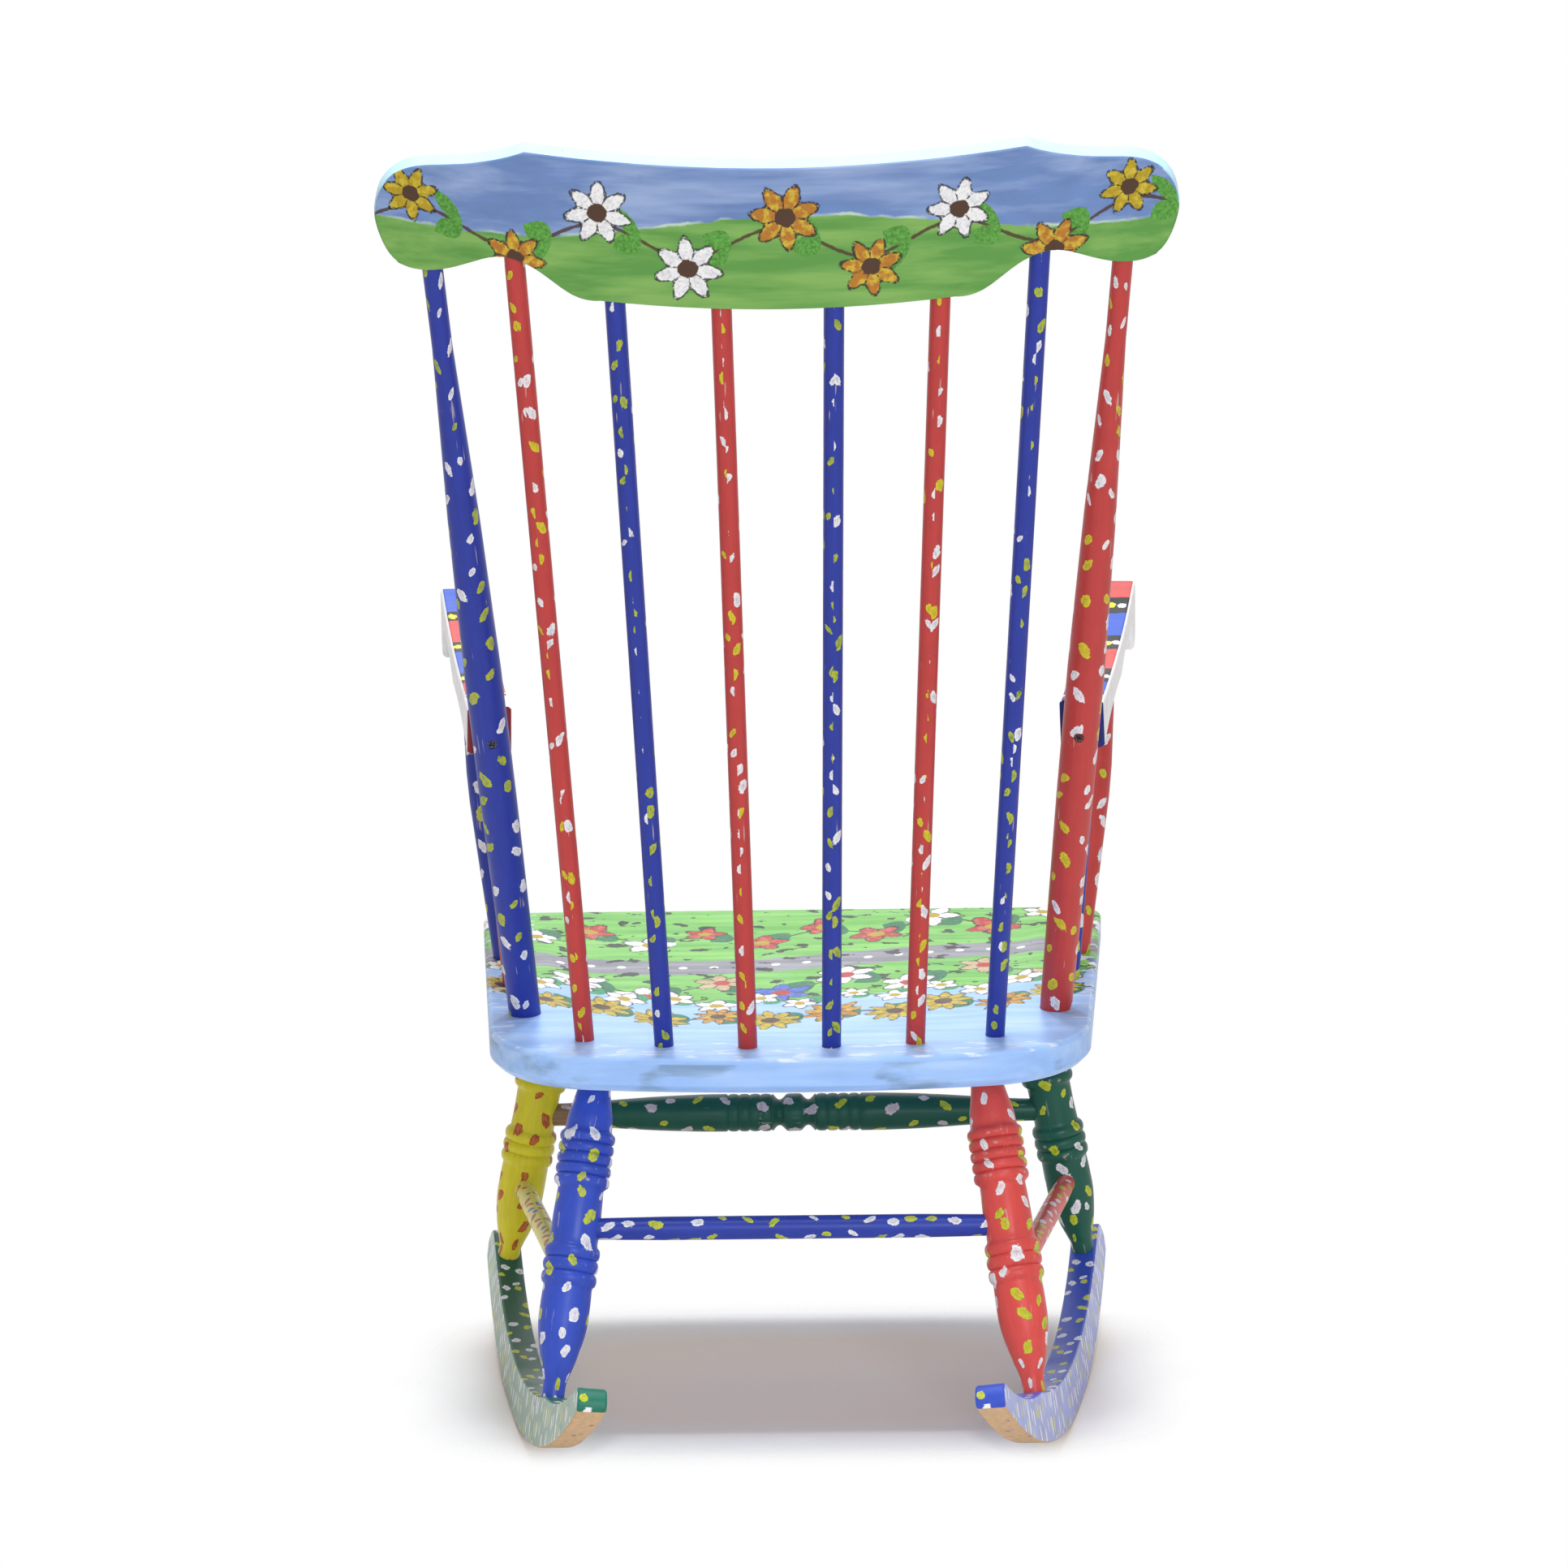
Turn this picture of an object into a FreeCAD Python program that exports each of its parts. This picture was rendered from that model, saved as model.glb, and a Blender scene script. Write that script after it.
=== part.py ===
import FreeCAD, Part
import math
import os

import Sketcher

Vector = FreeCAD.Vector
Rotation = FreeCAD.Rotation
Placement = FreeCAD.Placement

# Painted spindle-back rocking chair. Millimetres and degrees, +Z up, the sitter faces -Y.
# Places across the chair are half widths from its middle plane; "back" runs from the seat's front edge,
# and an inset from the farthest point of its rear edge.
SIZES = {
    # seat plank
    "seat_height": 367.5,
    "seat_tilt_angle": 3.9,
    "seat_depth": 465.0,
    "seat_front_half": 273.0,
    "seat_rear_half": 241.0,
    "seat_rear_bow": 28.0,
    "seat_thickness": 30.0,
    "seat_front_corner": 24.0,
    "seat_rear_corner": 100.0,
    "seat_lower_bevel": 7.0,
    "seat_upper_bevel": 2.4,
    "saddle_depth": 3.4,
    "saddle_slope_width": 22.0,
    "saddle_side_rim": 52.0,
    "saddle_front_rim": 34.0,
    "saddle_rear_rim": 74.0,
    "saddle_rear_bow": 26.0,
    "saddle_corner": 55.0,
    # back: spindles and posts
    "back_lean_angle": 18.8,
    "inner_base": 33.8,
    "inner_inset": 37.5,
    "middle_base": 101.6,
    "middle_inset": 45.0,
    "outer_base": 166.6,
    "outer_inset": 63.5,
    "post_base": 219.2,
    "post_inset": 142.0,
    "inner_top": 42.3,
    "middle_top": 122.3,
    "outer_top": 197.4,
    "post_top": 260.2,
    "spindle_radius": 7.8,
    "post_foot_radius": 13.2,
    "post_belly_radius": 14.9,
    "post_neck_radius": 12.6,
    "post_tip_radius": 7.9,
    # crest rail
    "crest_rise": 650.7,
    "crest_half": 302.0,
    "crest_sag": 42.0,
    "crest_thickness": 21.0,
    "crest_tablet_height": 114.0,
    "crest_peak_lift": 9.0,
    "crest_ear_height": 108.0,
    "crest_ear_foot": 22.0,
    "crest_hollow": 37.0,
    # legs
    "front_leg_out": 200.9,
    "front_leg_back": 80.0,
    "rear_leg_out": 157.9,
    "rear_leg_inset": 85.0,
    "leg_head_radius": 13.0,
    "leg_shaft_radius": 19.2,
    "leg_bead_radius": 22.7,
    "leg_groove_cut": 2.2,
    "leg_bulb_radius": 20.0,
    "leg_foot_radius": 8.8,
    # rockers
    "rocker_radius": 744.0,
    "rocker_gauge": 228.0,
    "rocker_toe_angle": 8.6,
    "rocker_lean_angle": 7.6,
    "rocker_thickness": 23.5,
    "rocker_depth": 41.0,
    "rocker_nose": 292.0,
    "rocker_nose_depth": 12.0,
    "rocker_shoulder": 252.0,
    "rocker_taper": 205.0,
    "rocker_tail": 402.0,
    "rocker_tail_depth": 20.0,
    "rocker_tail_round": 12.0,
    "front_foot": 228.0,
    "rear_foot": 170.5,
    "balance_back": 302.5,
    # stretchers
    "front_stretcher_radius": 16.5,
    "front_stretcher_cove": 5.2,
    "stretcher_groove_cut": 1.2,
    "front_stretcher_end": 9.8,
    "rear_stretcher_radius": 9.6,
    "rear_stretcher_end": 8.6,
    "side_stretcher_radius": 8.8,
    "side_stretcher_end": 7.6,
    # arms
    "arm_height": 599.0,
    "arm_length": 400.5,
    "arm_splay_angle": 6.5,
    "arm_rear_width": 35.0,
    "arm_front_width": 41.0,
    "arm_rear_rise": 20.5,
    "arm_front_rise": 63.5,
    "arm_scroll_drop": 58.0,
    "arm_corner": 6.0,
    "arm_edge_bevel": 2.4,
    "arm_cope": 3.3,
    # what carries the arms
    "arm_post_base": 246.0,
    "arm_post_back": 150.0,
    "arm_post_end": 9.3,
    "arm_post_belly": 15.0,
    "arm_spindle_base": 236.5,
    "arm_spindle_back": 234.0,
    "arm_spindle_radius": 6.1,
    "arm_spindle_inset": 2.5,
    # joinery
    "tenon_in_seat": 18.0,
    "tenon_in_crest": 17.0,
    "tenon_in_rocker": 13.0,
    "tenon_in_arm": 11.0,
    "stretcher_end_gap": 3.0,
    "fit_clearance": 0.12,
    "socket_end_gap": 0.6,
    "overrun": 14.0,
    # arm screws
    "screw_head_radius": 4.2,
    "screw_head_height": 3.0,
    "screw_shank_radius": 2.1,
    "screw_bite": 18.0,
    "screw_tip": 4.0,
    "screw_drop": 1.5,
    "screw_sink": 0.5,
    "screw_slot_width": 1.1,
    "screw_slot_reach": 2.4,
    "screw_slot_depth": 1.4,
}


class Size:
    """A length that carries its number and the sheet formula that gives it."""

    def __init__(self, value, formula):
        self.value = value
        self.formula = formula

    def __add__(self, other):
        return Size(self.value + other.value, f"({self.formula} + {other.formula})")

    def __sub__(self, other):
        return Size(self.value - other.value, f"({self.formula} - {other.formula})")

    def __mul__(self, share):
        return Size(self.value * share, f"({self.formula} * {share})")

    def __neg__(self):
        return Size(-self.value, f"(-1 * {self.formula})")


doc = FreeCAD.newDocument("rocking_chair")
sheet = doc.addObject("Spreadsheet::Sheet", "Sizes")
ZERO = Size(0.0, "0")


def write_cell(name, value):
    """Put a plain number on the next row of the sheet under its name."""
    row = len(write_cell.rows) + 1
    write_cell.rows.append(name)
    sheet.set(f"A{row}", name)
    sheet.set(f"B{row}", str(value))
    sheet.setAlias(f"B{row}", name)
    return Size(float(value), f"Sizes.{name}")


write_cell.rows = []
S = {name: write_cell(name, value) for name, value in SIZES.items()}
doc.recompute()


def arc_drop(radius, reach):
    """How far an arc of this radius rises at this reach from its lowest point."""
    value = radius.value - math.sqrt(radius.value ** 2 - reach.value ** 2)
    return Size(value, f"({radius.formula} - sqrt({radius.formula}^2 - {reach.formula}^2))")


# Outlines, bodies and sockets

def draw_outline(body, name, plane, points, arcs):
    """Sketch a closed outline whose corners, and the sagittas of its arcs, follow the sheet.

    points run anticlockwise; arcs maps a side's number to how far it bulges outwards.
    """
    sketch = body.newObject("Sketcher::SketchObject", name)
    origin_plane = next(f for f in body.Origin.OriginFeatures if f.Role == plane)
    sketch.AttachmentSupport = [(origin_plane, "")]
    sketch.MapMode = "FlatFace"
    places = [Vector(across.value, up.value, 0) for across, up in points]
    count = len(points)
    ends = []
    for side in range(count):
        start, end = places[side], places[(side + 1) % count]
        if side in arcs:
            way = (end - start).normalize()
            outwards = Vector(way.y, -way.x, 0)
            middle = (start + end) * 0.5 + outwards * arcs[side].value
            index = sketch.addGeometry(Part.Arc(start, middle, end), False)
            to_first, to_last = sketch.getPoint(index, 1) - start, sketch.getPoint(index, 2) - start
            first_is_start = to_first.Length < to_last.Length
        else:
            index = sketch.addGeometry(Part.LineSegment(start, end), False)
            first_is_start = True
        ends.append((1, 2) if first_is_start else (2, 1))
    links = []
    for side in range(count):
        after = (side + 1) % count
        links.append(Sketcher.Constraint("Coincident", side, ends[side][1], after, ends[after][0]))
    sketch.addConstraint(links)
    for side in range(count):
        for kind, size, value in (("DistanceX", points[side][0], places[side].x),
                                  ("DistanceY", points[side][1], places[side].y)):
            index = sketch.addConstraint(Sketcher.Constraint(kind, -1, 1, side, ends[side][0], value))
            sketch.setExpression(f"Constraints[{index}]", size.formula)
    for side, bulge in arcs.items():
        (x1, y1), (x2, y2) = points[side], points[(side + 1) % count]
        depth = bulge if bulge.value > 0 else -bulge
        chord = (places[(side + 1) % count] - places[side]).Length
        radius = (chord ** 2 / 4 + depth.value ** 2) / (2 * depth.value)
        run, rise = (x2 - x1).formula, (y2 - y1).formula
        index = sketch.addConstraint(Sketcher.Constraint("Radius", side, radius))
        sketch.setExpression(f"Constraints[{index}]",
                             f"(({run}^2 + {rise}^2) / 4 + {depth.formula}^2) / (2 * {depth.formula})")
    return sketch


def new_body(name):
    body = doc.addObject("PartDesign::Body", name)
    body.Label = name
    return body


def pad(body, sketch, thickness, name, middle=False, downwards=False):
    feature = body.newObject("PartDesign::Pad", name)
    feature.Profile = sketch
    feature.setExpression("Length", thickness.formula)
    if middle:
        feature.SideType = "Symmetric"
    feature.Reversed = downwards
    return feature


def ease_edges(body, base, size, name, wanted, kind="Fillet"):
    """Round or bevel the edges of a body that a test on each edge picks out."""
    doc.recompute()
    feature = body.newObject(f"PartDesign::{kind}", name)
    edges = [f"Edge{n}" for n, edge in enumerate(base.Shape.Edges, start=1) if wanted(edge)]
    feature.Base = (base, edges)
    feature.setExpression("Radius" if kind == "Fillet" else "Size", size.formula)
    return feature


def turn(name, low, high, sunk_low, sunk_high, profile):
    """Turn a stick that runs from one entry point to another and is let in at both ends.

    profile lists (share of the visible run, radius); the end radii run on into the sockets.
    """
    run = write_cell(f"{name}_run", (high - low).Length)
    whole = sunk_low + run + sunk_high
    rows = [(radius, sunk_low + run * share) for share, radius in profile]
    if sunk_low is not ZERO and profile[0][1] is not profile[1][1]:
        rows.insert(0, (profile[0][1], ZERO))
    else:
        rows[0] = (profile[0][1], ZERO)
    if sunk_high is not ZERO and profile[-1][1] is not profile[-2][1]:
        rows.append((profile[-1][1], whole))
    else:
        rows[-1] = (profile[-1][1], whole)
    body = new_body(name)
    sketch = draw_outline(body, f"{name}_profile", "XZ_Plane", [(ZERO, ZERO)] + rows + [(ZERO, whole)], {})
    feature = body.newObject("PartDesign::Revolution", f"{name}_turning")
    feature.Profile = sketch
    feature.ReferenceAxis = (sketch, ["V_Axis"])
    feature.Angle = 360
    body.Tip = feature
    way = (high - low).normalize()
    body.Placement = Placement(low - way * sunk_low.value, Rotation(Vector(0, 0, 1), way))
    return body


def socket(name, mouth, way, depth, radius):
    """A drilled hole for a stick's end: from past its mouth, along way, down to a little under the end."""
    tool = doc.addObject("Part::Cylinder", name)
    gap, over = S["socket_end_gap"], S["overrun"]
    tool.setExpression("Radius", (radius + S["fit_clearance"]).formula)
    tool.setExpression("Height", (depth + gap + over).formula)
    start = Vector(mouth) - way * over.value
    tool.Placement = Placement(start, Rotation(Vector(0, 0, 1), way))
    return tool


def drill(blank, tools, label):
    """Take the sockets out of a blank, and let the drilled piece carry the node's name."""
    drills = doc.addObject("Part::Compound", f"{label}_drills")
    drills.Links = tools
    piece = doc.addObject("Part::Cut", f"{label}_drilled")
    piece.Base = blank
    piece.Tool = drills
    blank.Label = f"{label}_blank"
    piece.Label = label
    return piece


def beads(start, end, count, radius, rise):
    """Rows of a profile for a group of turned beads, cut by sharp grooves, between two shares of the run."""
    step = (end - start) / count
    rows = [(start, radius)]
    for n in range(count):
        rows += [(start + step * (n + 0.5), radius + rise), (start + step * (n + 1), radius)]
    return rows


def mirror(point, side):
    return Vector(point.x * side, point.y, point.z)


def length(name):
    return SIZES[name]


def from_front(inset):
    """How far behind the seat's front edge a place lies that is measured from its rear edge."""
    return length("seat_depth") - length(inset)


SIDES = (("left", 1), ("right", -1))
pieces = []
seat_tools = []
crest_tools = []

# Seat: a plank sawn to a shield, its edges bevelled and its top hollowed to a shallow saddle

seat_turn = Rotation(Vector(1, 0, 0), -length("seat_tilt_angle"))
seat_origin = Vector(0, -length("balance_back"), length("seat_height"))
seat_frame = Placement(seat_origin, seat_turn)


def on_seat(across, back, below=0.0):
    return seat_frame.multVec(Vector(across, back, -below))


seat_body = new_body("seat")
half_front, half_rear = S["seat_front_half"], S["seat_rear_half"]
corner_back = S["seat_depth"] - S["seat_rear_bow"]
seat_outline = [(-half_front, ZERO), (half_front, ZERO), (half_rear, corner_back), (-half_rear, corner_back)]
plank_sketch = draw_outline(seat_body, "seat_outline", "XY_Plane", seat_outline,
                            {2: S["seat_rear_bow"]})
plank = pad(seat_body, plank_sketch, S["seat_thickness"], "seat_plank", downwards=True)


def upright_at(is_front):
    """Pick the plank's upright edges at the front or at the rear corners."""
    middle = length("seat_depth") / 2
    return lambda edge: (abs(edge.Vertexes[0].Z - edge.Vertexes[-1].Z) > length("seat_thickness") / 2
                         and (edge.Vertexes[0].Y < middle) == is_front)


def rim_at(height):
    """Pick the edges that lie in one level of the plank."""
    near = length("seat_thickness") / 4
    return lambda edge: all(abs(v.Z - height) < near for v in edge.Vertexes) and edge.Length > near


front_corners = ease_edges(seat_body, plank, S["seat_front_corner"], "seat_front_corners",
                           upright_at(True))
rear_corners = ease_edges(seat_body, front_corners, S["seat_rear_corner"], "seat_rear_corners",
                          upright_at(False))
lower_bevel = ease_edges(seat_body, rear_corners, S["seat_lower_bevel"], "seat_lower_bevel",
                         rim_at(-length("seat_thickness")), "Chamfer")
upper_bevel = ease_edges(seat_body, lower_bevel, S["seat_upper_bevel"], "seat_upper_bevel",
                         rim_at(0.0), "Chamfer")
doc.recompute()


def saddle_outline(name, inset, sunk):
    """The saddle's outline, drawn in from its lip by inset, at a depth under the seat's top."""
    front = S["saddle_front_rim"] + inset
    rear = corner_back - S["saddle_rear_rim"] - inset
    front_wide = half_front - S["saddle_side_rim"] - inset
    rear_wide = half_rear - S["saddle_side_rim"] - inset
    cut, bow = S["saddle_corner"], S["saddle_rear_bow"]
    clip = cut * 0.5
    outline = [(-front_wide + clip, front), (front_wide - clip, front), (front_wide, front + clip),
               (rear_wide, rear - cut), (rear_wide - cut, rear), (-rear_wide + cut, rear),
               (-rear_wide, rear - cut), (-front_wide, front + clip)]
    bulge = cut * 0.2
    arcs = {1: bulge * 0.5, 3: bulge, 4: bow, 5: bulge, 7: bulge * 0.5}
    sketch = draw_outline(seat_body, name, "XY_Plane", outline, arcs)
    sketch.setExpression("AttachmentOffset.Base.z", (-sunk).formula)
    return sketch


lip_sketch = saddle_outline("saddle_lip", ZERO, ZERO)
floor_sketch = saddle_outline("saddle_floor", S["saddle_slope_width"], S["saddle_depth"])
hollow = seat_body.newObject("PartDesign::SubtractiveLoft", "saddle_hollow")
hollow.Profile = lip_sketch
hollow.Sections = [floor_sketch]
hollow.Ruled = True
seat_body.Tip = hollow
seat_body.Placement = seat_frame

# Crest rail: a board bent across the back, sawn to a tablet with peaks and two rounded ears

lean_turn = Rotation(Vector(1, 0, 0), -length("back_lean_angle"))
crest_frame = Placement(on_seat(0, from_front("inner_inset")), lean_turn)
bend_radius = (length("crest_half") ** 2 + length("crest_sag") ** 2) / (2 * length("crest_sag"))
bend = write_cell("crest_bend_radius", bend_radius)


def crest_point(across, rise):
    """A place on the middle surface of the bent board, in the chair's frame."""
    set_back = math.sqrt(bend_radius ** 2 - across ** 2) - bend_radius
    return crest_frame.multVec(Vector(across, set_back, rise))


# Shares of the half width and places above the lower edge, for one half of the outline.
crest_lower_shares = ((0.44, 0.14), (0.51, 0.25), (0.59, 0.72), (0.69, 1.0), (0.76, 0.84))
rise = length("crest_rise")
tablet = length("crest_tablet_height")
hollow_top = length("crest_hollow")
ear_foot = length("crest_ear_foot")
ear_top = length("crest_ear_height")
half = length("crest_half")
peak = tablet + length("crest_peak_lift")
lower_half = [Vector(half * across, 0, rise + hollow_top * up) for across, up in crest_lower_shares]
ear_shares = ((0.865, ear_foot), (0.945, ear_foot + (ear_top - ear_foot) * 0.05),
              (0.99, ear_foot + (ear_top - ear_foot) * 0.3), (1.0, (ear_foot + ear_top) / 2),
              (0.985, ear_foot + (ear_top - ear_foot) * 0.72),
              (0.925, ear_foot + (ear_top - ear_foot) * 0.93))
ear = [Vector(half * across, 0, rise + up) for across, up in ear_shares]
upper_shares = ((0.80, ear_top + (peak - ear_top) * 0.1), (0.70, ear_top + (peak - ear_top) * 0.45),
                (0.617, peak), (0.52, tablet + (peak - tablet) * 0.72),
                (0.26, tablet + (peak - tablet) * 0.2))
upper_half = [Vector(half * across, 0, rise + up) for across, up in upper_shares]


def smooth(points):
    """One smooth curve through a row of points."""
    curve = Part.BSplineCurve()
    curve.interpolate(Points=points)
    return curve.toShape()


def flip(points):
    return [mirror(p, -1) for p in reversed(points)]


low_middle = Vector(0, 0, rise)
top_middle = Vector(0, 0, rise + tablet)
foot_left = lower_half[0]
tablet_edge = smooth([mirror(foot_left, -1), Vector(-half * 0.2, 0, rise + hollow_top * 0.03), low_middle,
                      Vector(half * 0.2, 0, rise + hollow_top * 0.03), foot_left])
right_flank = smooth(lower_half + ear + upper_half[:3])
left_flank = smooth(flip(lower_half + ear + upper_half[:3]))
top_edge = smooth([upper_half[2], upper_half[3], upper_half[4], top_middle,
                   mirror(upper_half[4], -1), mirror(upper_half[3], -1), mirror(upper_half[2], -1)])
outline_wire = Part.Wire(Part.__sortEdges__([tablet_edge, right_flank, top_edge, left_flank]))
swing = length("crest_sag") + length("crest_thickness") + length("overrun")
outline_face = Part.Face(outline_wire)
outline_face.translate(Vector(0, -swing, 0))
crest_outline = doc.addObject("Part::Feature", "crest_outline")
crest_outline.Shape = outline_face.extrude(Vector(0, 2 * swing, 0))
bend_outer = doc.addObject("Part::Cylinder", "crest_bend_outer")
bend_inner = doc.addObject("Part::Cylinder", "crest_bend_inner")
for wall, sign in ((bend_outer, 1), (bend_inner, -1)):
    wall.setExpression("Radius", (bend + S["crest_thickness"] * (0.5 * sign)).formula)
    wall.setExpression("Height", ((S["crest_rise"] + S["crest_tablet_height"]) * 1.5).formula)
    wall.Placement = Placement(Vector(0, -bend_radius, 0), Rotation())
bent_board = doc.addObject("Part::Cut", "crest_bent_board")
bent_board.Base, bent_board.Tool = bend_outer, bend_inner
crest_blank = doc.addObject("Part::Common", "crest_blank")
crest_blank.Base, crest_blank.Tool = bent_board, crest_outline
crest_blank.Placement = crest_frame

# Rockers: planks on edge, toed in and leaning with the legs, their soles cut to one common roll

def rocker_frame(side):
    toe = Rotation(Vector(0, 0, 1), 90 + side * length("rocker_toe_angle"))
    lean = Rotation(Vector(1, 0, 0), -side * length("rocker_lean_angle"))
    return Placement(Vector(side * length("rocker_gauge"), 0, 0), toe.multiply(lean))


def rocker_point(side, along, above):
    """A place in the middle plane of a rocker, above its sole at a distance along it."""
    sole = length("rocker_radius") - math.sqrt(length("rocker_radius") ** 2 - along ** 2)
    return rocker_frame(side).multVec(Vector(along, 0, sole + above))


def make_rocker(label, side, tools):
    body = new_body(f"{label}_plank")
    radius, depth, trim = S["rocker_radius"], S["rocker_depth"], S["overrun"]
    nose, tail = S["rocker_nose"], S["rocker_tail"]
    shoulder, taper = S["rocker_shoulder"], S["rocker_taper"]
    points = [(-nose, arc_drop(radius, nose) - trim), (tail, arc_drop(radius, tail) - trim),
              (tail, arc_drop(radius, tail) + S["rocker_tail_depth"]),
              (taper, arc_drop(radius, taper) + depth),
              (-shoulder, arc_drop(radius, shoulder) + depth),
              (-nose, arc_drop(radius, nose) + S["rocker_nose_depth"])]
    whole_bow = (nose + tail) * 0.115
    top_bow = (shoulder + taper) * 0.0812
    arcs = {0: whole_bow, 2: -(tail - taper) * 0.05, 3: -top_bow, 4: (nose - shoulder) * 0.2}
    sketch = draw_outline(body, f"{label}_outline", "XZ_Plane", points, arcs)
    plank_pad = pad(body, sketch, S["rocker_thickness"], f"{label}_pad", middle=True)
    tail_end, close = length("rocker_tail"), length("socket_end_gap")

    def tail_top(edge):
        return (all(abs(v.X - tail_end) < close for v in edge.Vertexes)
                and abs(edge.Vertexes[0].Z - edge.Vertexes[-1].Z) < close
                and edge.Vertexes[0].Z > arc_drop(radius, tail).value)

    rounded = ease_edges(body, plank_pad, S["rocker_tail_round"], f"{label}_tail_round", tail_top)
    body.Tip = rounded
    body.Placement = rocker_frame(side)
    roll = doc.addObject("Part::Cylinder", f"{label}_roll")
    roll.setExpression("Radius", radius.formula)
    roll.setExpression("Height", ((S["rocker_gauge"] + S["rocker_nose"]) * 2.0).formula)
    reach = length("rocker_gauge") + length("rocker_nose")
    roll.Placement = Placement(Vector(-reach, 0, length("rocker_radius")), Rotation(Vector(0, 1, 0), 90))
    shaped = doc.addObject("Part::Common", f"{label}_shaped")
    shaped.Base, shaped.Tool = body, roll
    return drill(shaped, tools, label)


# Legs, stretchers, posts and spindles

bead, shaft = S["leg_bead_radius"], S["leg_shaft_radius"]
bulb, foot, head = S["leg_bulb_radius"], S["leg_foot_radius"], S["leg_head_radius"]
groove_cut = S["leg_groove_cut"]
groove = bead - groove_cut
rear_profile = ([(0.02, foot), (0.10, foot + (bulb - foot) * 0.45), (0.20, bulb), (0.325, bulb)]
                + beads(0.335, 0.455, 3, groove, groove_cut)
                + [(0.465, bulb), (0.625, shaft)]
                + beads(0.635, 0.80, 5, groove, groove_cut)
                + [(0.81, shaft), (0.93, head), (0.985, head)])
front_profile = ([(0.03, foot), (0.13, foot + (bulb - foot) * 0.7), (0.2, bulb), (0.3, bulb)]
                 + beads(0.325, 0.44, 3, groove, groove_cut)
                 + [(0.45, shaft), (0.575, shaft)]
                 + beads(0.585, 0.77, 5, groove, groove_cut)
                 + [(0.776, shaft), (0.985, head)])

leg_lines = {}
for side_name, side in SIDES:
    for end_name, foot_at, back in (("front", -length("front_foot"), length("front_leg_back")),
                                    ("rear", length("rear_foot"), from_front("rear_leg_inset"))):
        low = rocker_point(side, foot_at, length("rocker_depth"))
        high = on_seat(side * length(f"{end_name}_leg_out"), back, length("seat_thickness"))
        leg_lines[side_name, end_name] = (low, high)


def on_leg(side_name, end_name, share):
    low, high = leg_lines[side_name, end_name]
    return low + (high - low) * share


leg_tools = {key: [] for key in leg_lines}


def stretch(name, start_key, start_share, end_key, end_share, end_radius, profile):
    """A stretcher between two legs, whose ends stop a little short of the legs' middles."""
    start, end = on_leg(*start_key, start_share), on_leg(*end_key, end_share)
    way = (end - start).normalize()
    gap = way * length("stretcher_end_gap")
    body = turn(name, start + gap, end - gap, ZERO, ZERO, profile)
    reach = S["leg_bead_radius"]
    for key, end_point, inwards in ((start_key, start + gap, -way), (end_key, end - gap, way)):
        mouth = end_point - inwards * reach.value
        leg_tools[key].append(socket(f"{name}_in_{key[0]}_{key[1]}", mouth, inwards, reach, end_radius))
    return body


full, cove = S["front_stretcher_radius"], S["front_stretcher_cove"]
tip = S["front_stretcher_end"]
swell = full - (full - tip) * 0.35
fine_cut = S["stretcher_groove_cut"]
left_half_profile = ([(0.0, tip), (0.06, tip), (0.22, swell), (0.34, full)]
                     + beads(0.372, 0.456, 4, full - fine_cut, fine_cut)
                     + [(0.468, full - cove), (0.476, full - cove), (0.488, full)])
right_half_profile = [(1 - share, radius) for share, radius in reversed(left_half_profile)]
front_stretcher_profile = left_half_profile + right_half_profile
rear_radius, rear_end = S["rear_stretcher_radius"], S["rear_stretcher_end"]
side_radius, side_end = S["side_stretcher_radius"], S["side_stretcher_end"]


def dowel(radius, end):
    """A plain dowel that narrows a little at both ends."""
    return [(0.0, end), (0.2, radius), (0.8, radius), (1.0, end)]


# How far up the legs' visible runs the stretchers' ends sit.
front_share, rear_share = 0.49, 0.505
side_front_share, side_rear_share = 0.245, 0.355
pieces.append(stretch("front_stretcher", ("left", "front"), front_share, ("right", "front"), front_share,
                      tip, front_stretcher_profile))
pieces.append(stretch("rear_stretcher", ("left", "rear"), rear_share, ("right", "rear"), rear_share,
                      rear_end, dowel(rear_radius, rear_end)))

for side_name, side in SIDES:
    pieces.append(stretch(f"{side_name}_side_stretcher", (side_name, "front"), side_front_share,
                          (side_name, "rear"), side_rear_share, side_end, dowel(side_radius, side_end)))
    rocker_tools = []
    for end_name, profile in (("front", front_profile), ("rear", rear_profile)):
        low, high = leg_lines[side_name, end_name]
        way = (high - low).normalize()
        name = f"{side_name}_{end_name}_leg"
        leg = turn(f"{name}_turned", low, high, S["tenon_in_rocker"], S["tenon_in_seat"], profile)
        pieces.append(drill(leg, leg_tools[side_name, end_name], name))
        rocker_tools.append(socket(f"{name}_foot_socket", low, -way, S["tenon_in_rocker"], foot))
        seat_tools.append(socket(f"{name}_head_socket", high, way, S["tenon_in_seat"], head))
    pieces.append(make_rocker(f"{side_name}_rocker", side, rocker_tools))

    for place, name, top_rise in (("inner", f"{side_name}_inner_spindle", 0.6),
                                  ("middle", f"{side_name}_middle_spindle", 4.0),
                                  ("outer", f"{side_name}_outer_spindle", 36.0)):
        low = on_seat(side * length(f"{place}_base"), from_front(f"{place}_inset"))
        high = crest_point(side * length(f"{place}_top"), rise + top_rise)
        way = (high - low).normalize()
        round_stick = S["spindle_radius"]
        pieces.append(turn(name, low, high, S["tenon_in_seat"], S["tenon_in_crest"],
                           [(0.0, round_stick), (1.0, round_stick)]))
        seat_tools.append(socket(f"{name}_foot_socket", low, -way, S["tenon_in_seat"], round_stick))
        crest_tools.append(socket(f"{name}_top_socket", high, way, S["tenon_in_crest"], round_stick))

# Back posts, with the arms butted against them and a countersunk screw through each into the arm

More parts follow.
